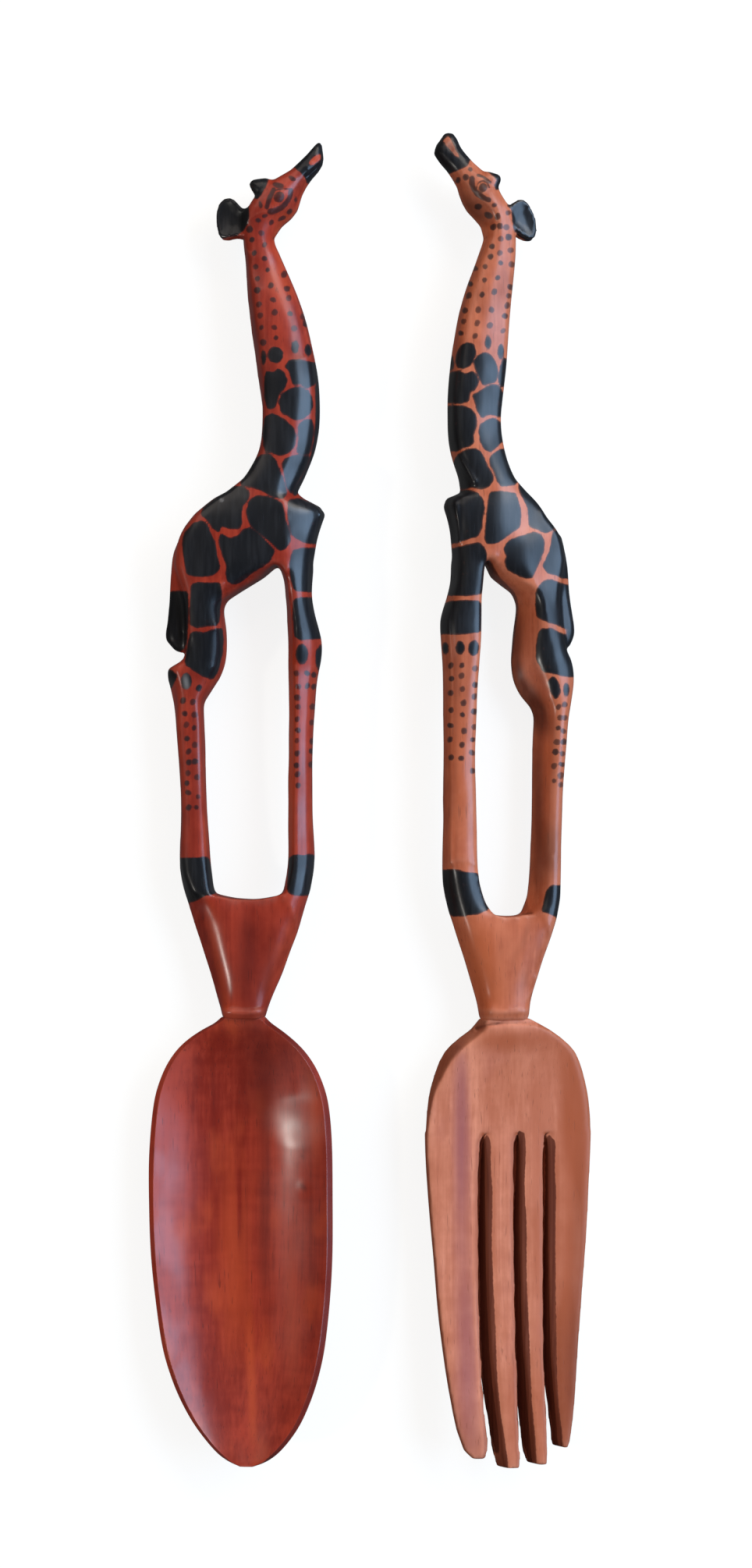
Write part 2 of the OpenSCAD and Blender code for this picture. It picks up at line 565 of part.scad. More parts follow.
// Lay a server down: grown to size, rolled, and set at its place on the table
module lay(side, roll) {
    translate([side * spacing / 2 + axis_shift, -server_l / 2, lie_h * grow])
        rotate([0, roll, 0])
            scale(grow)
                children();
}
module lay_spoon() lay(-1, -spoon_roll) children();
module lay_fork() lay(1, fork_roll) children();

// The table that a server lies on, which leaves a small flat under it
module table() translate([-far / 2, -far / 2, -far]) cube(far);
module flat_below() difference() {
    children();
    table();
}

// A giraffe's carved zone between two heights
module zone(rows, cuts, high, low) {
    all_cuts = smoothed(cuts);
    skin([for (r = slice(rows, high, low)) limb_ring(r, cuts_at(all_cuts, r[0]))]);
}

module spoon_upper(high, low) zone(spoon_trunk, spoon_trunk_cuts, high, low);
module spoon_rear(high, low) zone(spoon_hind, spoon_hind_cuts, high, low);
module spoon_fore(high, low) zone(spoon_front, spoon_front_cuts, high, low);
module fork_upper(high, low) zone(fork_trunk, fork_trunk_cuts, high, low);
module fork_rear(high, low) zone(fork_hind, fork_hind_cuts, high, low);
module fork_fore(high, low) zone(fork_front, fork_front_cuts, high, low);

// A tail
module tail(rows, tip) skin([for (r = slice(rows, tail_root, tip)) oval_ring(r)]);

// The side of the black edge on which a muzzle lies
module muzzle_side(edge) translate([edge[0], edge[1], 0]) rotate(edge[2])
    translate([0, -far / 2, -far / 2]) cube(far);

// One ear: a cupped leaf drawn over its outline, thick at the root.
// Each ring has its share of the outline, and the heights of its front and back as shares of ear_t.
ear_rings = [[0.3, -0.04, -0.77], [0.7, 0.16, -0.65], [0.92, 0.34, -0.55], [1, 0.1, -0.1]];
module ear(outline, side) {
    n = len(outline);
    edge = [for (i = [0 : n - 1]) each [for (t = [0, 0.5])
        between(outline[(i + n - 1) % n], outline[i], outline[(i + 1) % n],
                outline[(i + 2) % n], t)]];
    c = middle(edge);
    fronts = [for (e = ear_rings) [for (p = edge) concat(c + (p - c) * e[0], [ear_t * e[1]])]];
    backs = [for (k = [len(ear_rings) - 1 : -1 : 0]) let (e = ear_rings[k])
        [for (p = edge) concat(c + (p - c) * e[0], [ear_t * e[2]])]];
    root = outline[0];
    inward = root[0] > c[0] ? 1 : -1;
    translate([root[0], root[1], side * ear_gap])
        rotate([0, -side * inward * ear_lean, 0])
            translate([-root[0], -root[1], 0])
                mirror([0, 0, side < 0 ? 1 : 0])
                    skin(concat(fronts, backs));
}

// One horn: a flat wedge with a round end
module horn(line, side) {
    run = line[1] - line[0];
    over = [-run[1], run[0]] / norm(run);
    skin([for (h = horn_rows) [for (i = [0 : horn_sides - 1])
        let (a = 360 * i / horn_sides)
        concat(line[0] + run * h[0] + over * h[1] * cos(a),
               [side * horn_gap + horn_d * h[2] * sin(a)])]]);
}

// The yoke that joins the legs to the bowl or the root, with a round saddle between the hooves
module yoke_form(rows, cuts, crotch, collar, saddle) difference() {
    zone(rows, cuts, crotch, collar);
    translate([saddle[0], crotch + saddle[1] - saddle[2], -far / 2])
        cylinder(r = saddle[1], h = far);
}

// One tine on the line of the plate
module tine_form(i) {
    rows = smoothed(tines[i][0], tine_step);
    line = smoothed(plate_line, 2);
    last = len(tines) - 1;
    skin([for (r = rows)
        let (at = lookup(r[0], [for (p = line) [p[0], p[1]]]),
             share = lookup(r[0], [for (p = line) [p[0], p[2]]]))
        tine_ring([r[0], r[1], r[2], at, share * tines[i][1]],
                  i == 0 ? 0 : wall_lean, i == last ? 0 : 1,
                  i == 0 || i == last ? outer_tine_e : inner_tine_e)]);
}

// Spoon
module spoon_bowl() color(spoon_wood) flat_below() lay_spoon()
    skin([for (r = smoothed(spoon_bowl_rows, bowl_step)) bowl_ring(r)]);
module spoon_yoke() color(spoon_wood) lay_spoon()
    yoke_form(spoon_yoke_rows, spoon_yoke_cuts, spoon_crotch, spoon_collar, spoon_saddle);
module spoon_front_hoof() color(paint) lay_spoon() spoon_fore(spoon_hoof, spoon_crotch);
module spoon_front_leg() color(spoon_wood) lay_spoon() spoon_fore(spoon_knee, spoon_hoof);
module spoon_front_thigh() color(spoon_wood) lay_spoon()
    spoon_fore(spoon_belly, spoon_knee);
module spoon_hind_hoof() color(paint) lay_spoon() spoon_rear(spoon_hoof, spoon_crotch);
module spoon_hind_leg() color(spoon_wood) lay_spoon() spoon_rear(spoon_hock, spoon_hoof);
module spoon_haunch() color(spoon_wood) flat_below() lay_spoon()
    spoon_rear(spoon_belly, spoon_hock);
module spoon_tail() color(paint) lay_spoon() difference() {
    tail(spoon_tail_rows, spoon_tail_tip);
    spoon_rear(spoon_belly, spoon_hock);
    spoon_upper(withers, spoon_belly);
}
module spoon_torso() color(spoon_wood) flat_below() lay_spoon()
    spoon_upper(withers, spoon_belly);
module spoon_neck() color(spoon_wood) lay_spoon() spoon_upper(poll, withers);
module spoon_head() color(spoon_wood) lay_spoon() difference() {
    spoon_upper(above_heads, poll);
    muzzle_side(spoon_muzzle_edge);
}
module spoon_muzzle() color(paint) lay_spoon() intersection() {
    spoon_upper(above_heads, poll);
    muzzle_side(spoon_muzzle_edge);
}
module spoon_ears() color(paint) lay_spoon() for (side = [-1, 1]) difference() {
    ear(spoon_ear, side);
    spoon_upper(above_heads, withers);
}
module spoon_horns() color(paint) lay_spoon() for (side = [-1, 1]) difference() {
    horn(spoon_horn, side);
    spoon_upper(above_heads, poll);
}

// Fork
module fork_root() color(fork_wood) flat_below() lay_fork()
    skin([for (r = smoothed(fork_root_rows)) root_ring(r)]);
module fork_tine(i) color(fork_wood) flat_below() lay_fork() tine_form(i);
module fork_yoke() color(fork_wood) lay_fork()
    yoke_form(fork_yoke_rows, fork_yoke_cuts, fork_crotch, fork_collar, fork_saddle);
module fork_front_hoof() color(paint) lay_fork()
    fork_fore(fork_front_hoof_top, fork_crotch);
module fork_front_leg() color(fork_wood) lay_fork()
    fork_fore(fork_knee, fork_front_hoof_top);
module fork_front_thigh() color(fork_wood) lay_fork() fork_fore(fork_belly, fork_knee);
module fork_hind_hoof() color(paint) lay_fork() fork_rear(fork_hind_hoof_top, fork_crotch);
module fork_hind_leg() color(fork_wood) lay_fork()
    fork_rear(fork_hock, fork_hind_hoof_top);
module fork_haunch() color(fork_wood) flat_below() lay_fork()
    fork_rear(fork_belly, fork_hock);
module fork_tail() color(paint) lay_fork() difference() {
    tail(fork_tail_rows, fork_tail_tip);
    fork_rear(fork_belly, fork_hock);
    fork_upper(withers, fork_belly);
}
module fork_torso() color(fork_wood) flat_below() lay_fork()
    fork_upper(withers, fork_belly);
module fork_neck() color(fork_wood) lay_fork() fork_upper(poll, withers);
module fork_head() color(fork_wood) lay_fork() difference() {
    fork_upper(above_heads, poll);
    muzzle_side(fork_muzzle_edge);
}
module fork_muzzle() color(paint) lay_fork() intersection() {
    fork_upper(above_heads, poll);
    muzzle_side(fork_muzzle_edge);
}
module fork_ears() color(paint) lay_fork() for (side = [-1, 1]) difference() {
    ear(fork_ear, side);
    fork_upper(above_heads, withers);
}
module fork_horns() color(paint) lay_fork() for (side = [-1, 1]) difference() {
    horn(fork_horn, side);
    fork_upper(above_heads, poll);
}

spoon_bowl();
spoon_yoke();
spoon_front_hoof();
spoon_front_leg();
spoon_front_thigh();
spoon_hind_hoof();
spoon_hind_leg();
spoon_haunch();
spoon_tail();
spoon_torso();
spoon_neck();
spoon_head();
spoon_muzzle();
spoon_ears();
spoon_horns();
fork_root();
fork_tine(0);  // fork_tine_1
fork_tine(1);  // fork_tine_2
fork_tine(2);  // fork_tine_3
fork_tine(3);  // fork_tine_4
fork_yoke();
fork_front_hoof();
fork_front_leg();
fork_front_thigh();
fork_hind_hoof();
fork_hind_leg();
fork_haunch();
fork_tail();
fork_torso();
fork_neck();
fork_head();
fork_muzzle();
fork_ears();
fork_horns();
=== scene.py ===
"""Looks of a pair of carved giraffe salad servers: a spoon and a fork, painted and varnished by hand."""

import math

import bmesh
import bpy
import mathutils
import numpy as np
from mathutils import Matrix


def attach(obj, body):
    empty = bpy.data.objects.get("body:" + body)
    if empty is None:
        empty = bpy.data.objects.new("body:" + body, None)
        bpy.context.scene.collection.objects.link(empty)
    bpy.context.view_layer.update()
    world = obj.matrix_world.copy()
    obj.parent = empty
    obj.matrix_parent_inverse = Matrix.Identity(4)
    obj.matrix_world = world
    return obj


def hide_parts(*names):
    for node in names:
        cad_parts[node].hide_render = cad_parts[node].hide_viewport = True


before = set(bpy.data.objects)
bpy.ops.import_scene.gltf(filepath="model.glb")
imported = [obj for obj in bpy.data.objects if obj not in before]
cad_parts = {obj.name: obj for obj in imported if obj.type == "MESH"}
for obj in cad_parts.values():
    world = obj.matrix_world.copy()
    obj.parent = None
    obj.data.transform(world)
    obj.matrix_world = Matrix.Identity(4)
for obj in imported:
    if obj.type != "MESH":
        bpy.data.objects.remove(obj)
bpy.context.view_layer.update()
scene = bpy.context.scene

MM = 0.001

# The photo's viewpoint: image size, focal length and middle in its pixels, and the eye in millimetres
PHOTO_SIZE = (964, 2010)
PHOTO_LENS = 5000.0
PHOTO_MIDDLE = (482.0, 1005.0)
EYE = (1.8, 3.7, 1009.0)
SENSOR = 36.0
# Size of a photo pixel on the servers
PIXEL = 0.2

# Grid of the carved skins, in millimetres, and the number of rubbing-down passes
GIRAFFE_GRID = 0.50
TINE_GRID = 0.45
RUB_ALL = 3
RUB_SOFT = 9
RUB_TINES = 4
RUB_ROUND = 50
RUB_LONG = 176
# How far up a place must face to count as the front
FACE_UP = 0.3
# From which turn upwards, and how fast, a place of the face is moved by lifting and grooving
FACE_LIFTED = (0, 2)
# Knife cuts that are left: their size along each axis and their depth, in millimetres
GIRAFFE_CUTS = ((5, 9, 5), 0.16)
BOWL_CUTS = ((13, 15, 13), 0.12)
TINE_CUTS = ((8, 14, 8), 0.10)
# Points of the solids that are closer than this, in millimetres, are one point
SAME_POINT = 0.004
# Hollows and edges of a skin: passes that even them out, their rates, and the shortest edge in millimetres
BEND_PASSES = 3
HOLLOW_RATE = 3
EDGED_RATE = 3.5
SHORT_EDGE = 1e-3
# Share of each side that goes when corners are cut, and the least square of a side's length
CORNER_CUT = 0.15
TINY = 1e-9
# How far outside a painted shape points still count as near it, in photo pixels
NEAR_MARGIN = 12
# Where along the servers the bowl and the fork's root meet the yokes and reach into them, in millimetres
SPOON_COLLAR = -56.5
FORK_COLLAR = -56.9
COLLAR_SLACK = 0.2
COLLAR_TUCK = 0.6

# Zones of the CAD solids that each piece is carved from
ZONES = ["yoke", "front_hoof", "front_leg", "front_thigh", "hind_hoof", "hind_leg", "haunch", "tail",
         "torso", "neck", "head", "muzzle", "ears", "horns"]
SPOON_GIRAFFE = ["spoon_" + zone for zone in ZONES]
FORK_GIRAFFE = ["fork_" + zone for zone in ZONES]
FORK_TINES = ["fork_root", "fork_tine_1", "fork_tine_2", "fork_tine_3", "fork_tine_4"]

# Painted patches on the spoon, as corners in photo pixels
SPOON_PATCHES = {
    "neck_right_1": [(366, 470), (371, 462), (381, 461), (393, 464), (407, 466), (409, 488),
                     (400, 494), (393, 497), (385, 491), (376, 493), (373, 483), (371, 476)],
    "neck_left_1": [(341, 476), (351, 478), (357, 473), (364, 478), (368, 487), (365, 497),
                    (358, 504), (355, 513), (352, 522), (344, 524), (340, 512), (339, 490)],
    "neck_middle": [(358, 515), (361, 506), (368, 501), (377, 497), (386, 497), (395, 502),
                    (400, 510), (401, 521), (396, 531), (386, 537), (377, 538), (369, 532), (360, 528)],
    "neck_right_edge": [(405, 489), (414, 490), (416, 530), (411, 575), (398, 612), (378, 636),
                        (375, 628), (388, 610), (398, 588), (403, 564), (405, 540)],
    "neck_left_2": [(340, 534), (350, 530), (359, 535), (368, 541), (376, 549), (379, 560),
                    (377, 572), (370, 580), (358, 584), (348, 579), (340, 578), (337, 556)],
    "neck_right_2": [(383, 545), (390, 539), (399, 538), (402, 548), (400, 567), (396, 582),
                     (386, 583), (381, 578), (384, 563)],
    "neck_foot_left": [(333, 585), (344, 582), (353, 589), (358, 603), (364, 619), (367, 632),
                       (362, 639), (349, 636), (337, 629), (324, 624), (308, 621), (316, 604), (325, 592)],
    "neck_foot_right": [(362, 595), (367, 587), (379, 584), (397, 585), (393, 599), (384, 614),
                        (374, 632), (368, 625), (366, 611)],
    "chest": [(370, 642), (383, 639), (396, 644), (408, 649), (420, 656), (415, 680), (408, 697),
              (394, 696), (382, 691), (374, 685), (371, 672), (369, 657)],
    "shoulder": [(316, 655), (320, 642), (329, 636), (341, 637), (352, 640), (361, 645), (364, 657),
                 (366, 669), (371, 681), (372, 692), (367, 702), (359, 706), (349, 696), (338, 687),
                 (328, 680), (320, 671)],
    "back": [(300, 624), (311, 624), (319, 631), (318, 639), (311, 648), (309, 658), (310, 670),
             (306, 677), (294, 677), (284, 674), (281, 682), (273, 677), (267, 667), (258, 660),
             (262, 650), (280, 636), (294, 626)],
    "rump": [(248, 671), (259, 668), (265, 673), (270, 684), (275, 697), (278, 712), (282, 728),
             (275, 736), (261, 739), (248, 738), (240, 735), (237, 720), (234, 702), (236, 685)],
    "flank": [(283, 684), (295, 691), (306, 687), (313, 679), (321, 677), (330, 683), (341, 694),
              (352, 706), (346, 719), (333, 728), (320, 736), (308, 746), (300, 749), (292, 745),
              (290, 735), (291, 725), (286, 712), (281, 694)],
    "front_leg_1": [(376, 706), (388, 703), (408, 703), (405, 728), (402, 758), (390, 758),
                    (377, 756), (373, 741), (371, 724)],
    "front_leg_2": [(377, 768), (390, 766), (402, 767), (408, 785), (416, 805), (413, 818),
                    (398, 819), (384, 820), (378, 816), (376, 790)],
    "thigh_1": [(246, 749), (256, 747), (270, 748), (281, 747), (284, 760), (282, 778), (280, 801),
                (264, 802), (250, 804), (244, 800), (244, 775)],
    "thigh_2": [(245, 810), (262, 812), (275, 807), (285, 806), (286, 822), (284, 842), (279, 861),
                (272, 870), (260, 866), (249, 859), (237, 851), (241, 828)],
    "tail_tuft": [(214, 760), (228, 758), (240, 759), (241, 778), (240, 805), (239, 822),
                  (235, 832), (225, 838), (212, 833), (205, 821), (209, 790)],
    "heel": [(208, 857), (220, 860), (227, 866), (223, 875), (218, 884), (210, 876)],
    "hind_hoof": [(226, 1101), (244, 1100), (267, 1099), (272, 1118), (278, 1140), (274, 1146),
                  (262, 1148), (251, 1154), (236, 1158), (228, 1130)],
    "front_hoof": [(371, 1097), (406, 1096), (406, 1118), (402, 1134), (398, 1146), (386, 1148),
                   (374, 1146), (369, 1142), (370, 1120)],
    "muzzle": [(375, 211), (381, 217), (387, 222), (391, 226), (394, 235), (404, 230), (419, 214),
               (418, 196), (412, 178), (400, 184), (388, 197)],
    "horn": [(316, 234), (323, 227), (335, 225), (344, 228), (341, 237), (337, 244), (333, 251),
             (329, 255), (324, 250), (320, 243)],
    "ear": [(270, 268), (275, 255), (291, 247), (301, 251), (307, 261), (318, 264), (319, 276),
            (316, 288), (311, 296), (304, 301), (292, 303), (283, 306), (274, 304), (270, 283)],
}
# Painted ovals on the spoon: middle, half width and half height in photo pixels, tilt in degrees
SPOON_OVALS = {
    "neck_oval_1": (353.5, 455, 10, 11, 0),
    "neck_oval_2": (378, 445, 5, 9, 0),
    "neck_oval_3": (395, 449, 4.5, 8, 0),
    "neck_oval_4": (338, 459, 3.5, 9, 0),
    "knee_oval": (387, 838, 8, 13.5, 0),
    "knee_edge": (410, 843, 6, 17, 0),
    "hock_oval": (239, 873, 7, 11, 0),
    "hock_dot": (255, 882, 4, 5, 20),
    "pupil": (358, 252.5, 6.8, 7.2, 20),
    "brow_spot": (357, 237.5, 8, 4, 12),
    "snout_dash": (375.5, 229, 5, 3, 20),
    "cheek_1": (334, 262, 2.2, 5, -10),
    "cheek_2": (339, 277, 3.6, 2.6, -20),
    "cheek_3": (331, 282, 3.8, 3, 0),
    "cheek_4": (348, 285, 2.8, 3.8, 30),
    "jaw_1": (361, 280, 5.5, 2.8, -25),
    "jaw_2": (371, 271, 3.6, 2.8, -40),
    "jaw_3": (379, 256, 2, 3.6, 0),
}
# Rows of painted dots on the spoon, in photo pixels
SPOON_DOTS = {
    "neck_row_1": [(320, 294), (323, 307), (326, 324), (328, 342), (330, 357), (330, 372),
                   (332, 390), (334, 404), (335, 420), (337, 439)],
    "neck_row_2": [(335, 299), (339, 314), (339, 331), (343, 346), (347, 366), (350, 384),
                   (352, 400), (352, 420), (354, 433)],
    "neck_row_3": [(364, 352), (368, 370), (370, 382), (372, 402), (377, 421)],
    "neck_edge": [(389, 406), (392, 415)],
    "front_leg_row_1": [(380, 863), (382, 880), (381, 894), (382, 906), (381, 922), (382, 936),
                        (381, 949), (381, 966), (380, 981), (381, 993), (382, 1007)],
    "front_leg_row_2": [(394, 863), (394, 879)],
    "front_leg_edge": [(402, 865), (402, 880), (401, 906), (400, 926), (400, 950), (399, 963), (399, 980)],
    "hind_leg_row_1": [(235, 898), (237, 915), (239, 929), (240, 947), (242, 963), (242, 977),
                       (241, 991), (240, 1004), (241, 1016), (242, 1035)],
    "hind_leg_row_2": [(247, 900), (249, 916), (249, 933), (250, 955), (250, 976), (252, 996),
                       (254, 1021), (252, 1035)],
}
# Brush strokes round the spoon's eye: points and half width in photo pixels
SPOON_STROKES = {
    "lid_back": ([(351, 243), (346, 253), (342, 265)], 3.2),
    "lid_top": ([(352, 244), (359, 242.5), (366, 242), (373, 243)], 1.1),
    "lid_front": ([(373, 244), (372, 252), (366, 261)], 3.4),
    "lid_under": ([(347, 271), (354, 270), (361, 266), (366, 261)], 3.8),
}
# Bare wood left inside the black, as corners in photo pixels
SPOON_BARE = {
    "nostril": [(396, 209), (400, 203), (406, 198), (411, 198), (411, 204), (405, 209), (399, 212)],
}

# Painted patches on the fork, as corners in photo pixels
FORK_PATCHES = {
    "neck_left_1": [(592, 442), (600, 439), (607, 442), (610, 452), (607, 461), (603, 468),
                    (595, 472), (587, 471), (584, 463), (587, 452)],
    "neck_middle": [(607, 463), (613, 456), (621, 452), (629, 456), (636, 466), (638, 478),
                    (635, 489), (626, 491), (619, 493), (615, 484), (611, 475)],
    "neck_right_edge": [(646, 459), (653, 466), (651, 490), (643, 496), (639, 488), (641, 472)],
    "neck_left_2": [(566, 487), (578, 478), (589, 476), (597, 480), (605, 476), (611, 482),
                    (613, 491), (608, 499), (602, 502), (600, 514), (590, 517), (578, 516), (566, 515)],
    "neck_right_1": [(606, 507), (614, 503), (622, 498), (630, 494), (637, 494), (643, 501),
                     (649, 512), (648, 526), (641, 534), (631, 531), (624, 531), (618, 535),
                     (612, 526), (610, 515)],
    "neck_left_3": [(566, 523), (583, 520), (595, 521), (604, 525), (610, 533), (610, 546),
                    (606, 557), (607, 567), (601, 572), (592, 574), (586, 578), (578, 578), (569, 560)],
    "neck_right_2": [(614, 553), (617, 544), (624, 539), (632, 536), (639, 540), (646, 550),
                     (648, 562), (640, 569), (634, 575), (628, 579), (621, 575), (616, 566)],
    "neck_foot_left": [(586, 584), (597, 577), (608, 575), (616, 579), (621, 588), (624, 598),
                       (630, 606), (632, 614), (627, 623), (617, 626), (605, 624), (592, 627),
                       (580, 620), (580, 598)],
    "neck_foot_right": [(628, 587), (634, 581), (642, 576), (650, 575), (658, 592), (667, 612),
                        (661, 620), (652, 622), (643, 623), (638, 616), (634, 603), (629, 596)],
    "chest": [(563, 645), (573, 635), (588, 630), (601, 629), (612, 632), (619, 641), (621, 652),
              (618, 663), (617, 676), (612, 687), (602, 690), (590, 694), (572, 698), (566, 670)],
    "shoulder": [(628, 631), (640, 630), (652, 631), (660, 633), (664, 642), (667, 653), (667, 664),
                 (666, 675), (659, 680), (652, 685), (645, 691), (637, 696), (625, 697), (622, 691),
                 (623, 675), (625, 652)],
    "back": [(665, 618), (676, 622), (691, 634), (703, 651), (716, 672), (708, 679), (700, 683),
             (692, 679), (679, 674), (678, 662), (676, 648), (670, 637), (666, 627)],
    "flank": [(646, 704), (649, 697), (655, 692), (664, 689), (674, 686), (684, 683), (692, 685),
              (697, 692), (697, 704), (691, 719), (686, 731), (682, 740), (674, 741), (662, 736),
              (650, 729), (648, 720), (650, 713)],
    "rump": [(709, 682), (718, 678), (730, 690), (735, 712), (735, 742), (722, 741), (711, 736),
             (702, 734), (696, 726), (701, 715), (706, 702)],
    "front_leg_1": [(570, 706), (588, 702), (604, 698), (614, 696), (621, 703), (624, 713),
                    (620, 735), (619, 760), (600, 763), (586, 763), (570, 762), (572, 730)],
    "front_knee": [(562, 780), (577, 771), (595, 770), (616, 771), (618, 790), (616, 810),
                   (595, 812), (577, 812), (560, 812), (559, 798)],
    "thigh_1": [(688, 757), (696, 746), (706, 743), (717, 748), (734, 752), (741, 790), (742, 812),
                (728, 807), (716, 801), (704, 797), (696, 794), (689, 790), (687, 778)],
    "thigh_2": [(690, 814), (693, 807), (706, 806), (716, 811), (727, 815), (734, 827), (731, 837),
                (737, 850), (742, 867), (727, 867), (710, 863), (697, 861), (691, 851), (688, 845),
                (688, 830)],
    "tail_tip": [(727, 808), (742, 806), (742, 826), (732, 833), (729, 822)],
    "hock_patch": [(703, 873), (709, 867), (715, 874), (718, 886), (713, 896), (707, 888)],
    "front_hoof": [(562, 1116), (580, 1115), (600, 1119), (613, 1120), (617, 1140), (621, 1155),
                   (627, 1165), (612, 1171), (598, 1173), (578, 1175), (564, 1140)],
    "hind_hoof": [(701, 1142), (706, 1136), (723, 1135), (722, 1155), (717, 1178), (706, 1171),
                  (695, 1168), (698, 1154)],
    "muzzle": [(549, 196), (556, 185), (566, 172), (575, 165), (584, 170), (592, 184), (603, 204),
               (598, 212), (588, 217), (579, 221), (571, 223), (560, 212)],
    "horn": [(624, 218), (634, 215), (645, 221), (648, 230), (642, 240), (636, 243), (635, 237),
             (638, 231), (634, 226)],
    "ear": [(651, 263), (658, 255), (668, 249), (679, 254), (688, 269), (695, 288), (694, 306),
            (686, 312), (675, 309), (665, 301), (659, 293), (657, 280), (657, 268)],
}
FORK_OVALS = {
    "neck_oval_1": (625.5, 439, 4, 9, 0),
    "neck_oval_2": (642, 450, 4.2, 10, 0),
    "neck_oval_3": (577, 465, 5, 11, 0),
    "knee_oval_1": (590, 830, 6, 9, 0),
    "knee_oval_2": (607, 831, 7, 10.5, 0),
    "knee_edge": (571, 831, 4, 8, 0),
    "hock_oval": (726, 884, 4, 8.5, 0),
    "pupil": (619, 240.5, 5.4, 5.6, 0),
    "snout_1": (603, 217, 2.8, 2.8, 0),
    "snout_2": (597, 227, 4, 4, 0),
    "snout_3": (587, 231, 3.4, 4.4, 20),
    "jaw_1": (613, 265, 5.4, 4.4, 0),
    "jaw_2": (626, 276, 6, 4.4, 20),
    "cheek_1": (634, 263, 4, 3, 10),
    "cheek_2": (638, 277, 3.6, 4.4, 0),
}
FORK_DOTS = {
    "neck_row_1": [(632, 291), (631, 316), (629, 329), (622, 342), (621, 359), (618, 378),
                   (613, 397), (612, 414), (609, 431)],
    "neck_row_2": [(641, 290), (642, 306), (641, 324), (642, 337), (638, 356), (634, 374),
                   (630, 397), (628, 417)],
    "neck_row_3": [(609, 344), (603, 364), (601, 379), (596, 398), (594, 412), (591, 427)],
    "neck_row_4": [(651, 273), (649, 291), (652, 304), (655, 321), (656, 339), (654, 368),
                   (652, 379), (650, 392), (647, 405), (645, 424)],
    "front_leg_row_1": [(578, 853), (579, 870), (578, 888), (578, 910), (577, 930), (577, 948), (578, 971)],
    "front_leg_row_2": [(592, 853), (592, 866), (593, 883), (594, 901), (593, 916), (595, 937),
                        (592, 955), (591, 972)],
    "front_leg_row_3": [(609, 857), (609, 878), (608, 893), (608, 912), (608, 932), (606, 948),
                        (605, 965), (606, 988)],
    "hind_leg_row_1": [(716, 906), (718, 920), (716, 933), (714, 951), (712, 964), (710, 982), (710, 1001)],
    "hind_leg_row_2": [(724, 903), (724, 920), (722, 937), (723, 951), (721, 966), (720, 980),
                       (719, 994), (719, 1006)],
}
FORK_STROKES = {
    "lid_under": ([(605, 229), (606, 240), (611, 248), (619, 253), (627, 256)], 3.5),
    "eye_ring_top": ([(611, 241), (613, 234), (619, 231.5), (625, 234), (627, 240)], 1.0),
    "brow": ([(613, 225), (620, 227), (628, 233)], 1.9),
}
FORK_BARE = {
    "nostril": [(568, 180), (574, 174), (579, 180), (584, 191), (589, 202), (584, 200), (577, 192),
                (571, 186)],
}
# Dark walls of the fork's slots, sawn wood with painted shade in the slots, as corners in photo pixels
SLOT_WALLS = {
    "slot_1": [(624, 1455), (619, 1467), (617, 1495), (616, 1530), (614, 1585), (616, 1640), (617, 1702),
               (620, 1765), (623, 1815), (634, 1850), (640, 1890), (651, 1884), (646, 1846), (641, 1815),
               (636, 1765), (634, 1702), (631, 1645), (629, 1590), (630, 1550), (630, 1524), (628, 1497),
               (628, 1464)],
    "slot_2": [(665, 1450), (663, 1470), (662, 1508), (660, 1548), (659, 1582), (660, 1640), (662, 1702),
               (664, 1765), (664, 1827), (676, 1862), (682, 1890), (687, 1878), (685, 1843), (681, 1802),
               (679, 1765), (677, 1702), (674, 1645), (674, 1565), (672, 1542), (671, 1508), (673, 1483),
               (672, 1454)],
    "slot_3": [(703, 1455), (700, 1465), (700, 1498), (700, 1533), (699, 1565), (698, 1600), (698, 1702),
               (698, 1760), (702, 1782), (708, 1818), (712, 1866), (720, 1856), (720, 1840), (715, 1802),
               (713, 1765), (712, 1702), (711, 1645), (711, 1560), (712, 1530), (710, 1505), (711, 1464)],
}
# Dots: radius in photo pixels, its spread and the paint's cover from dot to dot, tilt in degrees
DOT_RADIUS = 4.0
DOT_SPREAD = (0.82, 1.14)
DOT_COVER = (0.72, 0.92)
DOT_TILT = 25
DOT_SEED = 7
# Marks on the faces, above this row of the photo, are painted thinner
FACE_END = 300
FACE_COVER = 0.85
# How far from the edge of the paint its depth is still counted, in millimetres
PAINT_REACH = 2.0
# How far the patches spread past their drawn corners, in photo pixels
PATCH_GROWTH = 1.2

# Share of a streak's length over which its ends fade
STREAK_FADE = 0.4
# Streaks of the wood, and painted light and painted shade where marked: two ends and half width in photo
# pixels, strength; dark ones are below 0
SPOON_STREAKS = {
    "bowl_orange": ((298, 1500), (302, 1740), 42, 0.55),
    "bowl_orange_right": ((372, 1580), (376, 1780), 22, 0.40),
    "bowl_light_line": ((321, 1700), (325, 1870), 11, 0.60),
    # Painted shade at the top end of the bowl's hollow
    "bowl_top_painted_shade": ((336, 1300), (336, 1440), 55, -0.65),
    "bowl_dark": ((340, 1440), (336, 1690), 16, -0.55),
    "bowl_thin_1": ((272, 1320), (276, 1520), 6, -0.40),
    "bowl_thin_2": ((250, 1340), (247, 1470), 6, -0.35),
    "bowl_thin_3": ((306, 1480), (307, 1580), 5, -0.45),
    "yoke_dark": ((320, 1165), (315, 1290), 32, -0.70),
    "yoke_right": ((354, 1175), (338, 1290), 18, -0.55),
    "hind_leg_dark": ((250, 900), (256, 1080), 14, -0.35),
    # Painted shade under the belly's edge
    "belly_painted_shade": ((292, 768), (366, 728), 10, -0.60),
    "yoke_orange": ((268, 1160), (292, 1290), 14, 0.5),
    "hind_leg_orange": ((262, 1030), (264, 1100), 9, 0.5),
    # Painted light on the left side of the front leg
    "front_leg_painted_light": ((374, 850), (372, 1110), 9, 0.9),
    "bowl_right_glow": ((402, 1370), (405, 1490), 20, 0.6),
    "bowl_dent": ((384, 1517), (393, 1526), 7, -0.7),
    "bowl_mark": ((386, 1478), (390, 1486), 6, -0.5),
    "bowl_tip": ((318, 1850), (322, 1890), 46, -0.30),
    "nostril": ((398, 210), (413, 198), 10, 0.6),
}
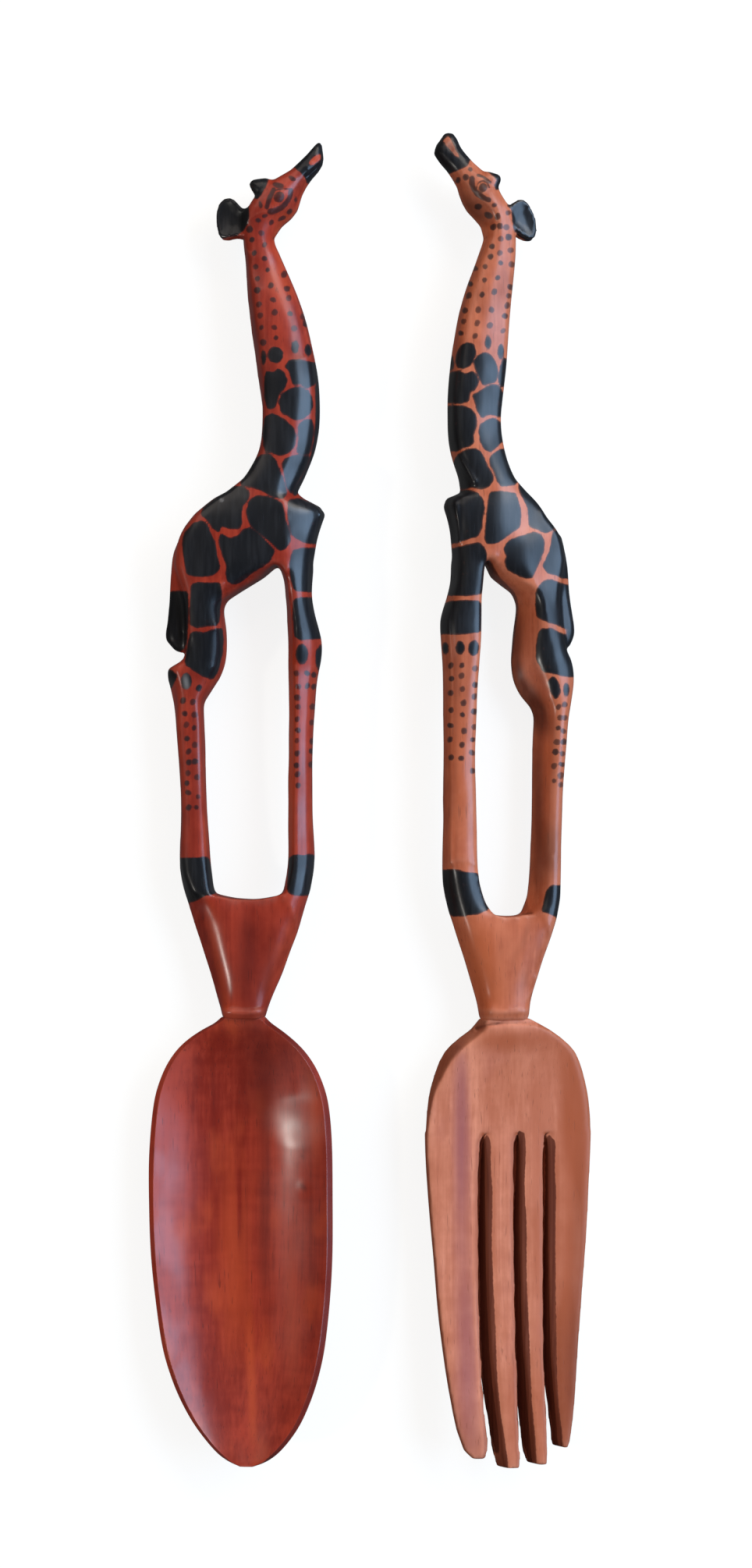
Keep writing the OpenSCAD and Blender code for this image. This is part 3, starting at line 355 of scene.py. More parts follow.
FORK_STREAKS = {
    "root_purple": ((592, 1330), (592, 1560), 21, -0.80),
    "tine_purple": ((594, 1600), (604, 1880), 28, -0.68),
    "root_right_edge": ((750, 1345), (756, 1600), 24, 0.9),
    "root_orange": ((655, 1330), (655, 1440), 75, 0.48),
    "root_orange_top": ((600, 1334), (690, 1330), 28, 0.55),
    "root_right": ((716, 1310), (738, 1490), 50, 0.85),
    "tips": ((668, 1740), (674, 1910), 62, 0.72),
    "tip_1": ((606, 1870), (618, 1910), 40, 0.60),
    "tine_4_low": ((728, 1690), (730, 1860), 34, 0.80),
    "root_stripe": ((736, 1360), (743, 1432), 9, 0.90),
    "root_grey": ((704, 1350), (706, 1450), 24, -0.45),
    "tine_4_orange": ((732, 1480), (724, 1800), 28, 0.80),
    "tine_3_orange": ((690, 1640), (694, 1800), 12, 0.15),
    "yoke_orange": ((612, 1180), (630, 1290), 38, 0.85),
    "leg_orange": ((588, 900), (592, 1070), 24, 0.55),
    "nostril": ((570, 179), (588, 201), 12, -0.66),
    # Painted shade on the jaw and cheek
    "jaw": ((590, 254), (626, 288), 18, -0.50),
    "head": ((594, 222), (628, 276), 38, -0.30),
    # Painted shade on the left side of the front leg
    "front_leg_left": ((565, 850), (565, 1100), 10, -0.60),
    "yoke_smudge_1": ((678, 1180), (668, 1222), 9, -0.30),
    "yoke_smudge_2": ((662, 1212), (658, 1240), 8, -0.22),
    "yoke_smudge_3": ((674, 1236), (668, 1280), 10, -0.28),
    "yoke_smudge_4": ((640, 1195), (634, 1262), 9, -0.16),
    # Painted shade on the inner side of the haunch
    "haunch_mid_painted_shade": ((672, 770), (672, 850), 26, -0.34),
    "hind_leg_front": ((714, 900), (708, 1130), 16, -0.30),
    "hind_leg_foot": ((708, 1060), (706, 1130), 22, -0.40),
    # Painted shade on the inner side of the hind leg
    "hind_leg_dark": ((690, 920), (688, 1150), 18, -0.75),
    # Painted shade along the haunch's left edge
    "haunch_edge_painted_shade": ((656, 780), (656, 884), 20, -0.9),
    # Painted shade under the hock
    "hock_painted_shade": ((656, 860), (698, 930), 24, -1.0),
}
# Places where the black has been rubbed grey: two ends and half width in photo pixels, strength
SPOON_RUBBED = {
    "hock": ((237, 866), (240, 884), 6, 0.9),
    "back_fleck": ((282, 640), (286, 642), 3, 1.0),
}
# Places of the tines drawn darker: two ends and half width in photo pixels, strength
TINE_SHADE = {
    "tine_4_low": ((728, 1690), (730, 1870), 40, 0.42),
    "tine_4_edge": ((744, 1500), (736, 1800), 16, 0.30),
    "tip_1": ((602, 1815), (616, 1910), 34, 0.28),
}
# Places where the varnish has gone dull: two ends and half width in photo pixels, strength
SPOON_DULL = {
    "knee": ((388, 826), (388, 860), 30, 0.9),
    "front_dots": ((381, 860), (381, 1010), 9, 0.6),
    "tail": ((224, 756), (222, 846), 30, 1.0),
    "neck_collar": ((368, 632), (384, 640), 12, 0.8),
    "heel": ((206, 862), (232, 868), 12, 0.9),
    "thigh": ((272, 745), (268, 862), 20, 1.0),
    "hind_leg": ((255, 1000), (256, 1095), 18, 0.8),
    "neck_top": ((340, 282), (346, 322), 15, 0.9),
    "eye": ((350, 254), (366, 250), 12, 0.9),
    "nostril": ((398, 210), (413, 198), 10, 0.8),
    # On the bowl, dull places also take the milky haze and painted sheen
    "bowl_shoulder": ((234, 1335), (216, 1420), 38, 0.85),
    "bowl_below": ((373, 1540), (375, 1690), 28, 0.7),
    "bowl_end": ((325, 1740), (325, 1860), 90, 0.35),
    "neck_stripe": ((350, 325), (382, 445), 15, 0.5),
    "bowl_top": ((374, 1345), (379, 1422), 36, 1.0),
    "yoke_right": ((356, 1170), (338, 1290), 20, 0.85),
    "yoke_top": ((266, 1158), (276, 1182), 13, 0.7),
    "hind_hoof": ((238, 1105), (252, 1152), 8, 0.6),
    "ear_root": ((306, 266), (317, 298), 11, 0.9),
}
FORK_DULL = {
    "hock": ((656, 850), (690, 920), 30, 1.0),
    "yoke_right": ((690, 1180), (672, 1290), 18, 0.8),
    "chin": ((592, 262), (622, 285), 16, 0.6),
    "eye": ((604, 240), (628, 248), 16, 0.95),
    "muzzle": ((556, 196), (586, 210), 26, 1.0),
    "front_leg_left": ((566, 850), (566, 1100), 7, 0.5),
    "yoke_left": ((599, 1165), (627, 1290), 12, 1.0),
    "front_hoof": ((578, 1116), (590, 1170), 9, 0.75),
}


# Shapes in the photo's plane

def photo_place(co):
    """Where points, in millimetres, are in the photo."""
    depth = EYE[2] - co[:, 2]
    across = PHOTO_MIDDLE[0] + PHOTO_LENS * (co[:, 0] - EYE[0]) / depth
    down = PHOTO_MIDDLE[1] - PHOTO_LENS * (co[:, 1] - EYE[1]) / depth
    return np.stack([across, down], axis=1)


def rising(values, start, rate):
    """0 up to the start, then rising at this rate to 1."""
    return np.clip((values - start) * rate, 0, 1)


def eased(share):
    """A share from 0 to 1 with a soft start and a soft end."""
    return share * share * (3 - 2 * share)


def rounded(corners, closed=True, rounds=2):
    """The outline with its corners cut, so that it runs in curves."""
    line = np.array(corners, float)
    for _ in range(rounds):
        after = np.roll(line, -1, axis=0) if closed else line[1:]
        before = line if closed else line[:-1]
        leaving = before * (1 - CORNER_CUT) + after * CORNER_CUT
        arriving = before * CORNER_CUT + after * (1 - CORNER_CUT)
        cut = np.stack([leaving, arriving], axis=1).reshape(-1, 2)
        line = cut if closed else np.concatenate([line[:1], cut, line[-1:]])
    return line


def distance_to(at, line, closed):
    """Distance of points to a line of short pieces."""
    ends = np.roll(line, -1, axis=0) if closed else line[1:]
    starts = line if closed else line[:-1]
    best = np.full(len(at), np.inf)
    for start, end in zip(starts, ends):
        run = end - start
        share = np.clip(((at - start) @ run) / max(run @ run, TINY), 0, 1)
        gap = at - (start + share[:, None] * run)
        best = np.minimum(best, np.hypot(gap[:, 0], gap[:, 1]))
    return best


def inside(at, line):
    """Which points lie inside a closed line."""
    within = np.zeros(len(at), bool)
    ends = np.roll(line, -1, axis=0)
    for (x0, y0), (x1, y1) in zip(line, ends):
        if y0 == y1:
            continue
        spans = (at[:, 1] < y0) != (at[:, 1] < y1)
        crossing = x0 + (at[:, 1] - y0) * (x1 - x0) / (y1 - y0)
        within ^= spans & (at[:, 0] < crossing)
    return within


def in_circles(at, circles):
    """Which points lie in any of some circles, each with its middle and its reach."""
    return np.any([np.hypot(at[:, 0] - x, at[:, 1] - y) < reach for x, y, reach in circles], axis=0)


def near(at, line):
    """The points close enough to a shape to matter to it."""
    low = line.min(0) - NEAR_MARGIN
    high = line.max(0) + NEAR_MARGIN
    return np.nonzero(((at > low) & (at < high)).all(1))[0]


def patch_depth(at, corners):
    """The points near a patch, and how deep they lie in it, in photo pixels."""
    line = rounded(corners, rounds=1)
    who = near(at, line)
    depth = distance_to(at[who], line, True)
    return who, np.where(inside(at[who], line), depth, -depth) + PATCH_GROWTH


def oval_depth(at, oval):
    """The points near an oval, and how deep they lie in it, in photo pixels."""
    x, y, half_w, half_h, tilt = oval
    turn = math.radians(tilt)
    who = near(at, np.array([(x - half_w, y - half_h), (x + half_w, y + half_h)]))
    gap = at[who] - (x, y)
    along = gap[:, 0] * math.cos(turn) + gap[:, 1] * math.sin(turn)
    over = gap[:, 1] * math.cos(turn) - gap[:, 0] * math.sin(turn)
    size = np.hypot(along / half_w, over / half_h)
    return who, (1 - size) * min(half_w, half_h)


def stroke_depth(at, points, half_w):
    """The points near a brush stroke, and how deep they lie in it, in photo pixels."""
    line = rounded(points, closed=False)
    who = near(at, line)
    return who, half_w - distance_to(at[who], line, False)


def patch_marks(at, patches):
    """The depths of points in some patches, each with how well its paint covers."""
    return [(*patch_depth(at, corners), 1.0) for corners in patches.values()]


def deepest(at, marks):
    """How deep each point lies in any of the marks, in photo pixels, and how well that mark covers."""
    depth = np.full(len(at), -PAINT_REACH / PIXEL)
    cover = np.ones(len(at))
    for who, value, strength in marks:
        cover[who] = np.where(value > depth[who], strength, cover[who])
        depth[who] = np.maximum(depth[who], value)
    return depth, cover


def in_millimetres(depth):
    """A depth in photo pixels as a real one, kept within the paint's reach."""
    return np.clip(depth * PIXEL, -PAINT_REACH, PAINT_REACH)


def paint_depth(at, patches, ovals, dots, strokes, bare):
    """How deep each point lies in the black paint, in millimetres, and how well the paint covers there."""
    marks = patch_marks(at, patches)
    for oval in ovals.values():
        marks.append((*oval_depth(at, oval), FACE_COVER if oval[1] < FACE_END else 1.0))
    for points, half_w in strokes.values():
        marks.append((*stroke_depth(at, points, half_w), FACE_COVER))
    hand = np.random.default_rng(DOT_SEED)
    for x, y in [dot for row in dots.values() for dot in row]:
        half_w, half_h = DOT_RADIUS * hand.uniform(*DOT_SPREAD, 2)
        marks.append((*oval_depth(at, (x, y, half_w, half_h, DOT_TILT)), hand.uniform(*DOT_COVER)))
    depth, cover = deepest(at, marks)
    for corners in bare.values():
        who, value = patch_depth(at, corners)
        depth[who] = np.minimum(depth[who], PATCH_GROWTH - value)
    return in_millimetres(depth), cover


def streak_tone(at, streaks):
    """How much lighter or darker than its surroundings each point is drawn: the wood's own tone, and in
    places painted light and painted shade.
    """
    tone = np.zeros(len(at))
    for start, end, half_w, strength in streaks.values():
        run = np.subtract(end, start)
        length = np.hypot(*run)
        along = (at - start) @ run / length ** 2
        over = np.abs((at - start) @ (-run[1], run[0])) / length
        core = np.clip(1 - over / half_w, 0, 1)
        ends = np.clip((0.5 + STREAK_FADE - np.abs(along - 0.5)) / (2 * STREAK_FADE), 0, 1)
        tone += strength * eased(core) * eased(ends)
    return np.clip(tone, -1, 1)


# Working on a piece's mesh

def read(mesh, what="co"):
    """The places of a mesh's vertices, or their normals."""
    values = np.zeros(len(mesh.vertices) * 3, np.float32)
    mesh.vertices.foreach_get(what, values)
    return values.reshape(-1, 3).astype(float)


def write(mesh, co):
    """Moves a mesh's vertices to these places."""
    mesh.vertices.foreach_set("co", co.astype(np.float32).ravel())
    mesh.update()


def settle(obj):
    """Makes the modifiers' result the piece's own mesh."""
    graph = bpy.context.evaluated_depsgraph_get()
    made = bpy.data.meshes.new_from_object(obj.evaluated_get(graph))
    obj.modifiers.clear()
    plain = obj.data
    obj.data = made
    bpy.data.meshes.remove(plain)


def raw_copy(name, nodes, collar=None):
    """A new piece, in millimetres, from copies of the CAD solids of these zones.

    With a collar, given as its place along the servers, the end there is tucked into the next piece.
    """
    raw = bmesh.new()
    for node in nodes:
        raw.from_mesh(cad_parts[node].data)
    bmesh.ops.scale(raw, vec=(1 / MM, 1 / MM, 1 / MM), verts=raw.verts)
    bmesh.ops.remove_doubles(raw, verts=raw.verts, dist=SAME_POINT)
    if collar is not None:
        end = [v for v in raw.verts if v.co.y > collar - COLLAR_SLACK]
        bmesh.ops.translate(raw, verts=end, vec=(0, COLLAR_TUCK, 0))
    mesh = bpy.data.meshes.new(name)
    raw.to_mesh(mesh)
    raw.free()
    obj = bpy.data.objects.new(name, mesh)
    scene.collection.objects.link(obj)
    return obj


def block(name, nodes, grid, collar=None):
    """One closed skin round these zones, as if carved from one block."""
    obj = raw_copy(name, nodes, collar)
    skin = obj.modifiers.new("skin", "REMESH")
    skin.mode = "VOXEL"
    skin.voxel_size = grid
    settle(obj)
    return obj


def refine(obj, circle):
    """Splits the faces in a circle of the photo, so that fine brushwork has room."""
    close = in_circles(photo_place(read(obj.data)), [circle])
    work = bmesh.new()
    work.from_mesh(obj.data)
    work.verts.ensure_lookup_table()
    edges = [e for e in work.edges if close[e.verts[0].index] and close[e.verts[1].index]]
    bmesh.ops.subdivide_edges(work, edges=edges, cuts=1, use_grid_fill=True)
    work.to_mesh(obj.data)
    work.free()


def rub(obj, passes, soft):
    """Smooths the skin where it is marked as soft."""
    group = obj.vertex_groups.new(name="soft")
    group.add(np.nonzero(soft)[0].tolist(), 1.0, "REPLACE")
    cloth = obj.modifiers.new("rub", "SMOOTH")
    cloth.factor = 1.0
    cloth.iterations = passes
    cloth.vertex_group = group.name
    settle(obj)
    obj.vertex_groups.clear()


def rub_down(obj, passes, crisp=()):
    """Smooths the skin all over, except in the crisp circles of the photo."""
    at = photo_place(read(obj.data))
    rub(obj, passes, np.broadcast_to(~in_circles(at, crisp), len(at)))


def rub_front(obj, passes, circles):
    """Smooths only the front of the skin, in some circles of the photo."""
    facing_up = read(obj.data, "normal")[:, 2] > FACE_UP
    rub(obj, passes, in_circles(photo_place(read(obj.data)), circles) & facing_up)


def lift(obj, height_at):
    """Moves the face up or down by a height that depends on the place in the photo."""
    co = read(obj.data)
    facing = rising(read(obj.data, "normal")[:, 2], *FACE_LIFTED)
    co[:, 2] += height_at(photo_place(co)) * facing
    write(obj.data, co)


def lift_spot(obj, x, y, half_w, half_h, height):
    """Raises or sinks a round spot of the face, given in photo pixels."""
    def height_at(at):
        away = np.hypot((at[:, 0] - x) / half_w, (at[:, 1] - y) / half_h)
        share = np.clip(1 - away * away, 0, 1)
        return height * share * share

    lift(obj, height_at)


def groove(obj, points, half_w, depth):
    """Cuts a rounded groove along a line of photo pixels, or a ridge where the depth is below 0."""
    line = rounded(points, closed=False)

    def height_at(at):
        return -depth * eased(np.clip(1 - distance_to(at, line, False) / half_w, 0, 1))

    lift(obj, height_at)


def hand_cut(obj, size, depth):
    """Leaves the skin a little uneven, as a knife does."""
    co = read(obj.data)
    waves = [mathutils.noise.noise(at) for at in (co / size).tolist()]
    write(obj.data, co + read(obj.data, "normal") * (depth * np.array(waves))[:, None])


def bend(obj):
    """How hollow the skin is at each point, and how edged, from 0 to 1."""
    mesh = obj.data
    pairs = np.zeros(len(mesh.edges) * 2, np.int32)
    mesh.edges.foreach_get("vertices", pairs)
    first, second = pairs.reshape(-1, 2).T
    co = read(mesh)
    normal = read(mesh, "normal")
    count = np.maximum(np.bincount(pairs, minlength=len(co)), 1)

    def mean(at_first, at_second):
        """The mean at each vertex of what its edges bring to their first and second ends."""
        return (np.bincount(first, at_first, len(co)) + np.bincount(second, at_second, len(co))) / count

    def around(values):
        return mean(values[second], values[first])

    length = np.linalg.norm(co[first] - co[second], axis=1)
    size = np.maximum(mean(length, length), SHORT_EDGE)
    centre = np.stack([around(co[:, axis]) for axis in range(3)], axis=1)
    curve = ((centre - co) * normal).sum(1) / size ** 2
    for _ in range(BEND_PASSES):
        curve = 0.5 * curve + 0.5 * around(curve)
    return rising(curve, 0, HOLLOW_RATE), rising(-curve, 0, EDGED_RATE)


def put(obj, name, values):
    """Keeps one number a vertex for the material to read."""
    layer = obj.data.attributes.new(name, "FLOAT", "POINT")
    layer.data.foreach_set("value", np.asarray(values, np.float32))


def finish_piece(obj, body, nodes, material):
    """Brings a piece to metres and gives it its finish and its body."""
    hollow, edged = bend(obj)
    put(obj, "hollow", hollow)
    put(obj, "edged", edged)
    write(obj.data, read(obj.data) * MM)
    obj.data.polygons.foreach_set("use_smooth", np.ones(len(obj.data.polygons), bool))
    obj.data.materials.clear()
    obj.data.materials.append(material)
    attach(obj, body)
    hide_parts(*nodes)


# Materials

class Wire:
    """A socket of a material, so that shader maths can be written as sums."""

    def __init__(self, kit, socket):
        self.kit = kit
        self.socket = socket

    def __add__(self, other):
        return self.kit.maths("ADD", self, other)

    def __sub__(self, other):
        return self.kit.maths("SUBTRACT", self, other)

    def __rsub__(self, other):
        return self.kit.maths("SUBTRACT", other, self)

    def __mul__(self, other):
        return self.kit.maths("MULTIPLY", self, other)

    __radd__ = __add__
    __rmul__ = __mul__


class Kit:
    """The nodes of one material."""

    def __init__(self, name):
        self.material = bpy.data.materials.new(name)
        self.material.use_nodes = True
        self.tree = self.material.node_tree
        self.shader = self.tree.nodes["Principled BSDF"]

    def feed(self, socket, value):
        """Links a wire to a socket, or sets the socket to a plain value."""
        if isinstance(value, Wire):
            self.tree.links.new(value.socket, socket)
        else:
            socket.default_value = value

    def node(self, kind, settings, values, out=0):
        """One node: its settings first, then the values or links of its sockets."""
        made = self.tree.nodes.new(kind)
        for key, value in settings.items():
            setattr(made, key, value)
        for key, value in values.items():
            self.feed(made.inputs[key], value)
        return Wire(self, made.outputs[out])

    def finish(self, **values):
        """Feeds the shader's own sockets."""
        for key, value in values.items():
            self.feed(self.shader.inputs[key.replace("_", " ")], value)
        return self.material

    def maths(self, operation, first, second):
        return self.node("ShaderNodeMath", {"operation": operation}, {0: first, 1: second})

    def place(self):
        return self.node("ShaderNodeTexCoord", {}, {}, "Object")

    def kept(self, name):
        """A number that the piece keeps for each vertex."""
        return self.node("ShaderNodeAttribute", {"attribute_name": name}, {}, "Fac")

    def shown(self, name, value):
        """0 where a value is too low to show, 1 where it shows in full, and smooth between."""
        low, high = SHOWING[name]
        return self.node("ShaderNodeMapRange", {"interpolation_type": "SMOOTHSTEP"},
                         {"Value": value, "From Min": low, "From Max": high})

    def pattern(self, name, at, out="Fac"):
        """One of the patterns, as noise."""
        waves, detail = PATTERNS[name]
        scaled = self.node("ShaderNodeVectorMath", {"operation": "MULTIPLY"}, {0: at, 1: waves}, "Vector")
        return self.node("ShaderNodeTexNoise", {}, {"Vector": scaled, "Scale": 1.0, "Detail": detail}, out)

    def sway(self, name, at):
        """A pattern that moves an edge to both sides."""
        return (self.pattern(name, at) - 0.5) * SHARES[name]

    def raised(self, name, wire):
        """A number that a pattern raises."""
        least, more = RAISED[name]
        return least + more * wire

    def mix(self, share, first, second):
        """A colour between two."""
        return self.node("ShaderNodeMix", {"data_type": "RGBA"}, {0: share, 6: first, 7: second}, 2)

    def bump(self, height):
        sockets = {"Height": height, "Distance": BUMP_DEPTH, "Strength": BUMP_STRENGTH}
        return self.node("ShaderNodeBump", {}, sockets, "Normal")


# Patterns in the finishes: waves a metre along each axis, and detail
PATTERNS = {
    "drift": ((30, 5, 30), 2.0),
    "figure": ((110, 5, 110), 3.0),
    "fibre": ((1200, 14, 1200), 2.0),
    "ripple": ((70, 330, 70), 2.0),
    "pores": ((2400, 150, 2400), 1.0),
    "mottle": ((330, 200, 330), 3.0),
    "stain": ((90, 40, 90), 3.0),
    "ragged": ((950, 950, 950), 2.0),
    "wobble": ((330, 330, 330), 3.0),
    "brush": ((900, 90, 900), 2.0),
    "chips": ((520, 380, 520), 3.0),
    "patchy": ((130, 75, 130), 2.0),
    "tool": ((300, 110, 300), 1.0),
    "paper": ((900, 900, 900), 2.0),
}
# Values at which a mark begins to show and shows in full
SHOWING = {
    "pores": (0.66, 0.76),
    "slot": (-0.12, 0.12),
    "light": (0.37, 0.63),
    "stain_glow": (0.52, 0.70),
    "stain_dark": (0.54, 0.72),
    "tone": (0.0, 1.0),
    "dirt_and_shade": (0.05, 0.8),
    "paint": (-0.15, 0.15),
    "full_paint": (0.0, 0.5),
    "chips": (0.64, 0.72),
    "brush": (0.4, 0.7),
    "patchy": (0.33, 0.62),
}
# How much of the colour under it a mark takes, or how much a pattern counts
SHARES = {
    "figure": 0.5,
    "fibre": 0.2,
    "mottle": 0.3,
    "stain_glow": 0.5,
    "stain_dark": 0.2,
    "pores": 0.45,
    "wear_and_highlight": 0.30,
    "dirt_and_shade": 0.75,
    "ragged": 0.4,
    "wobble": 0.6,
    "chips": 0.12,
    "sawn_rough": 0.3,
    "sawn_coat": 0.9,
    "hollow_coat": 0.5,
}
# Numbers that a pattern raises: the least, and what the pattern adds in full
RAISED = {
    "streak_and_shade": (0.7, 0.3),
    "sawn": (0.66, 0.5),
    "paint_cover": (0.88, 0.12),
    "wood_rough": (0.48, 0.16),
    "paint_rough": (0.34, 0.14),
    "coat": (0.55, 0.45),
}
# Heights in the surface, as shares of the bump's depth
HEIGHTS = {"tool": 1.1, "fibre": 0.22, "pores": 0.35, "paint": 0.25, "brush": 0.3}
# How far the grain wanders sideways, and the depth of the bump, in metres
GRAIN_DRIFT = (0.006, 0.0, 0.006)
BUMP_DEPTH = 0.00010
BUMP_STRENGTH = 0.7
WOOD_GLOSS = 0.12
BLACK = (0.0095, 0.0095, 0.0110, 1)
BLACK_BRUSHED = (0.0170, 0.0170, 0.0190, 1)
BLACK_RUBBED = (0.2300, 0.2150, 0.2050, 1)
# Milky look of dull varnish, with a painted sheen
DULL_HAZE_AND_SHEEN = (0.750, 0.6200, 0.6000, 1)


def carved_wood(name, woods, rippled, varnish, coat_roughness, haze_and_sheen=0.0):
    """Varnished wood with its grain along the server, black brushwork on it, wear, and painted light and
    shade.
    """
    kit = Kit(name)
    place = kit.place()
    tone = kit.kept("tone")
    hollow = kit.kept("hollow")
    edged = kit.kept("edged")
    dull = kit.kept("dull")

    # Grain
    wavy = kit.node("ShaderNodeVectorMath", {"operation": "MULTIPLY_ADD"},
                    {0: kit.pattern("drift", place, "Color"), 1: GRAIN_DRIFT, 2: place}, "Vector")
    fibre = kit.pattern("fibre", wavy)
    pores = kit.shown("pores", kit.pattern("pores", wavy))
    stain = kit.pattern("stain", wavy)
    ragged = kit.sway("ragged", place)
    # Slot walls: sawn wood, with painted shade
    slot = kit.shown("slot", kit.kept("slot") + ragged)
    sawn = kit.maths("MAXIMUM", kit.kept("sawn"), slot)
    light = kit.pattern("figure", wavy) * SHARES["figure"] + fibre * SHARES["fibre"]
    light = light + kit.pattern("mottle", wavy) * (SHARES["mottle"] - rippled)
    light = light + kit.pattern("ripple", wavy) * rippled

    # Wood
    colour = kit.mix(kit.shown("light", light), woods["dark"], woods["light"])
    colour = kit.mix(kit.shown("stain_glow", stain) * SHARES["stain_glow"], colour, woods["glow"])
    colour = kit.mix(kit.shown("stain_dark", 1 - stain) * SHARES["stain_dark"], colour, woods["streak_and_shade"])
    # Tone: lighter and darker streaks of the grain, and in places painted light and painted shade
    colour = kit.mix(kit.shown("tone", tone), colour, woods["glow"])
    colour = kit.mix(kit.shown("tone", tone * -1) * kit.raised("streak_and_shade", fibre), colour, woods["streak_and_shade"])
    colour = kit.mix(pores * SHARES["pores"], colour, woods["pore"])
    # Wear on edges, with a painted highlight along ridges
    colour = kit.mix(edged * SHARES["wear_and_highlight"], colour, woods["wear_and_highlight"])
    # Milky dull varnish, with a painted sheen
    colour = kit.mix(dull * haze_and_sheen, colour, DULL_HAZE_AND_SHEEN)
    # Dirt, and painted shade, in hollows and creases
    colour = kit.mix(kit.shown("dirt_and_shade", hollow) * SHARES["dirt_and_shade"], colour, woods["dirt_and_shade"])
    # Sawn wood, with painted shade in the slots and on walls that face away from the light
    colour = kit.mix(sawn * kit.raised("sawn", fibre), colour, woods["sawn"])

    # Paint
    paint = kit.kept("paint")
    brush = kit.pattern("brush", place)
    laid = kit.shown("paint", paint + kit.sway("wobble", place) + ragged)
    full = kit.raised("paint_cover", kit.shown("full_paint", paint))
    chips = kit.shown("chips", kit.pattern("chips", place)) * edged
    cover = laid * full * kit.kept("cover") * (1 - SHARES["chips"] * chips)
    black = kit.mix(kit.shown("brush", brush), BLACK, BLACK_BRUSHED)
    black = kit.mix(kit.kept("rubbed"), black, BLACK_RUBBED)
    colour = kit.mix(cover, colour, black)

    # Varnish
    rough = (kit.raised("wood_rough", fibre) + SHARES["sawn_rough"] * sawn) * (1 - laid)
    rough = rough + kit.raised("paint_rough", brush) * laid
    patchy = kit.shown("patchy", kit.pattern("patchy", place))
    coat = varnish * (1 - SHARES["sawn_coat"] * sawn) * (1 - SHARES["hollow_coat"] * hollow)
    coat = coat * kit.raised("coat", patchy) * (1 - dull)
    height = kit.pattern("tool", place) * HEIGHTS["tool"] + fibre * HEIGHTS["fibre"]
    height = height - pores * HEIGHTS["pores"]
    height = height + laid * HEIGHTS["paint"] + brush * laid * HEIGHTS["brush"]
    return kit.finish(Base_Color=colour, Roughness=rough, Coat_Weight=coat, Coat_Roughness=coat_roughness,
                      Specular_IOR_Level=WOOD_GLOSS, Normal=kit.bump(height))


SPOON_WOODS = {
    "dark": (0.260, 0.0170, 0.0065, 1),
    "light": (0.470, 0.0460, 0.0190, 1),
    "glow": (0.600, 0.0750, 0.0200, 1),
    "streak_and_shade": (0.130, 0.0080, 0.0045, 1),
    "pore": (0.090, 0.0110, 0.0060, 1),
    "wear_and_highlight": (0.640, 0.1500, 0.0900, 1),
    "dirt_and_shade": (0.040, 0.0070, 0.0045, 1),
    "sawn": (0.060, 0.0100, 0.0060, 1),
}
GIRAFFE_FORK_WOODS = {
    "dark": (0.470, 0.0980, 0.0380, 1),
    "light": (0.680, 0.1800, 0.0800, 1),
    "glow": (0.600, 0.1300, 0.0430, 1),
    "streak_and_shade": (0.062, 0.0105, 0.0058, 1),
    "pore": (0.190, 0.0480, 0.0220, 1),
    "wear_and_highlight": (0.820, 0.3800, 0.2400, 1),
    "dirt_and_shade": (0.060, 0.0140, 0.0070, 1),
    "sawn": (0.050, 0.0105, 0.0050, 1),
}
TINE_WOODS = {
    "dark": (0.640, 0.1880, 0.0960, 1),
    "light": (0.915, 0.3250, 0.1850, 1),
    "glow": (0.480, 0.1080, 0.0400, 1),
    "streak_and_shade": (0.365, 0.1000, 0.1040, 1),
    "pore": (0.330, 0.0900, 0.0450, 1),
    "wear_and_highlight": (0.800, 0.3300, 0.2000, 1),
    "dirt_and_shade": (0.060, 0.0140, 0.0070, 1),
    "sawn": (0.150, 0.0340, 0.0180, 1),
}
spoon_finish = carved_wood("spoon_finish", SPOON_WOODS, rippled=0.05, varnish=1.0, coat_roughness=0.25)
bowl_finish = carved_wood("bowl_finish", SPOON_WOODS, rippled=0.15, varnish=0.95, coat_roughness=0.25,
                          haze_and_sheen=0.04)
fork_finish = carved_wood("fork_finish", GIRAFFE_FORK_WOODS, rippled=0.05, varnish=0.80, coat_roughness=0.26)
tine_finish = carved_wood("tine_finish", TINE_WOODS, rippled=0.08, varnish=0.30, coat_roughness=0.38)


# Both giraffes

# Circles of the photo round the heads, for fine brushwork: middle and reach
SPOON_HEAD = (345, 250, 80)
FORK_HEAD = (622, 240, 80)
# Circles of the photo that keep their crisp edges: middle and reach
SPOON_CRISP = {
    "ear": (296, 278, 34),
    "horn": (332, 240, 16),
    "muzzle_tip": (412, 190, 16),
    "chest_corner": (417, 656, 12),
    "neck_foot": (380, 634, 10),
    "tail_notch": (238, 838, 8),
}
FORK_CRISP = {
    "ear": (672, 282, 34),
    "horn": (634, 228, 14),
    "muzzle_tip": (570, 178, 14),
    "chest_corner": (570, 645, 12),
    "neck_foot": (592, 629, 10),
    "tail_notch": (732, 829, 10),
}
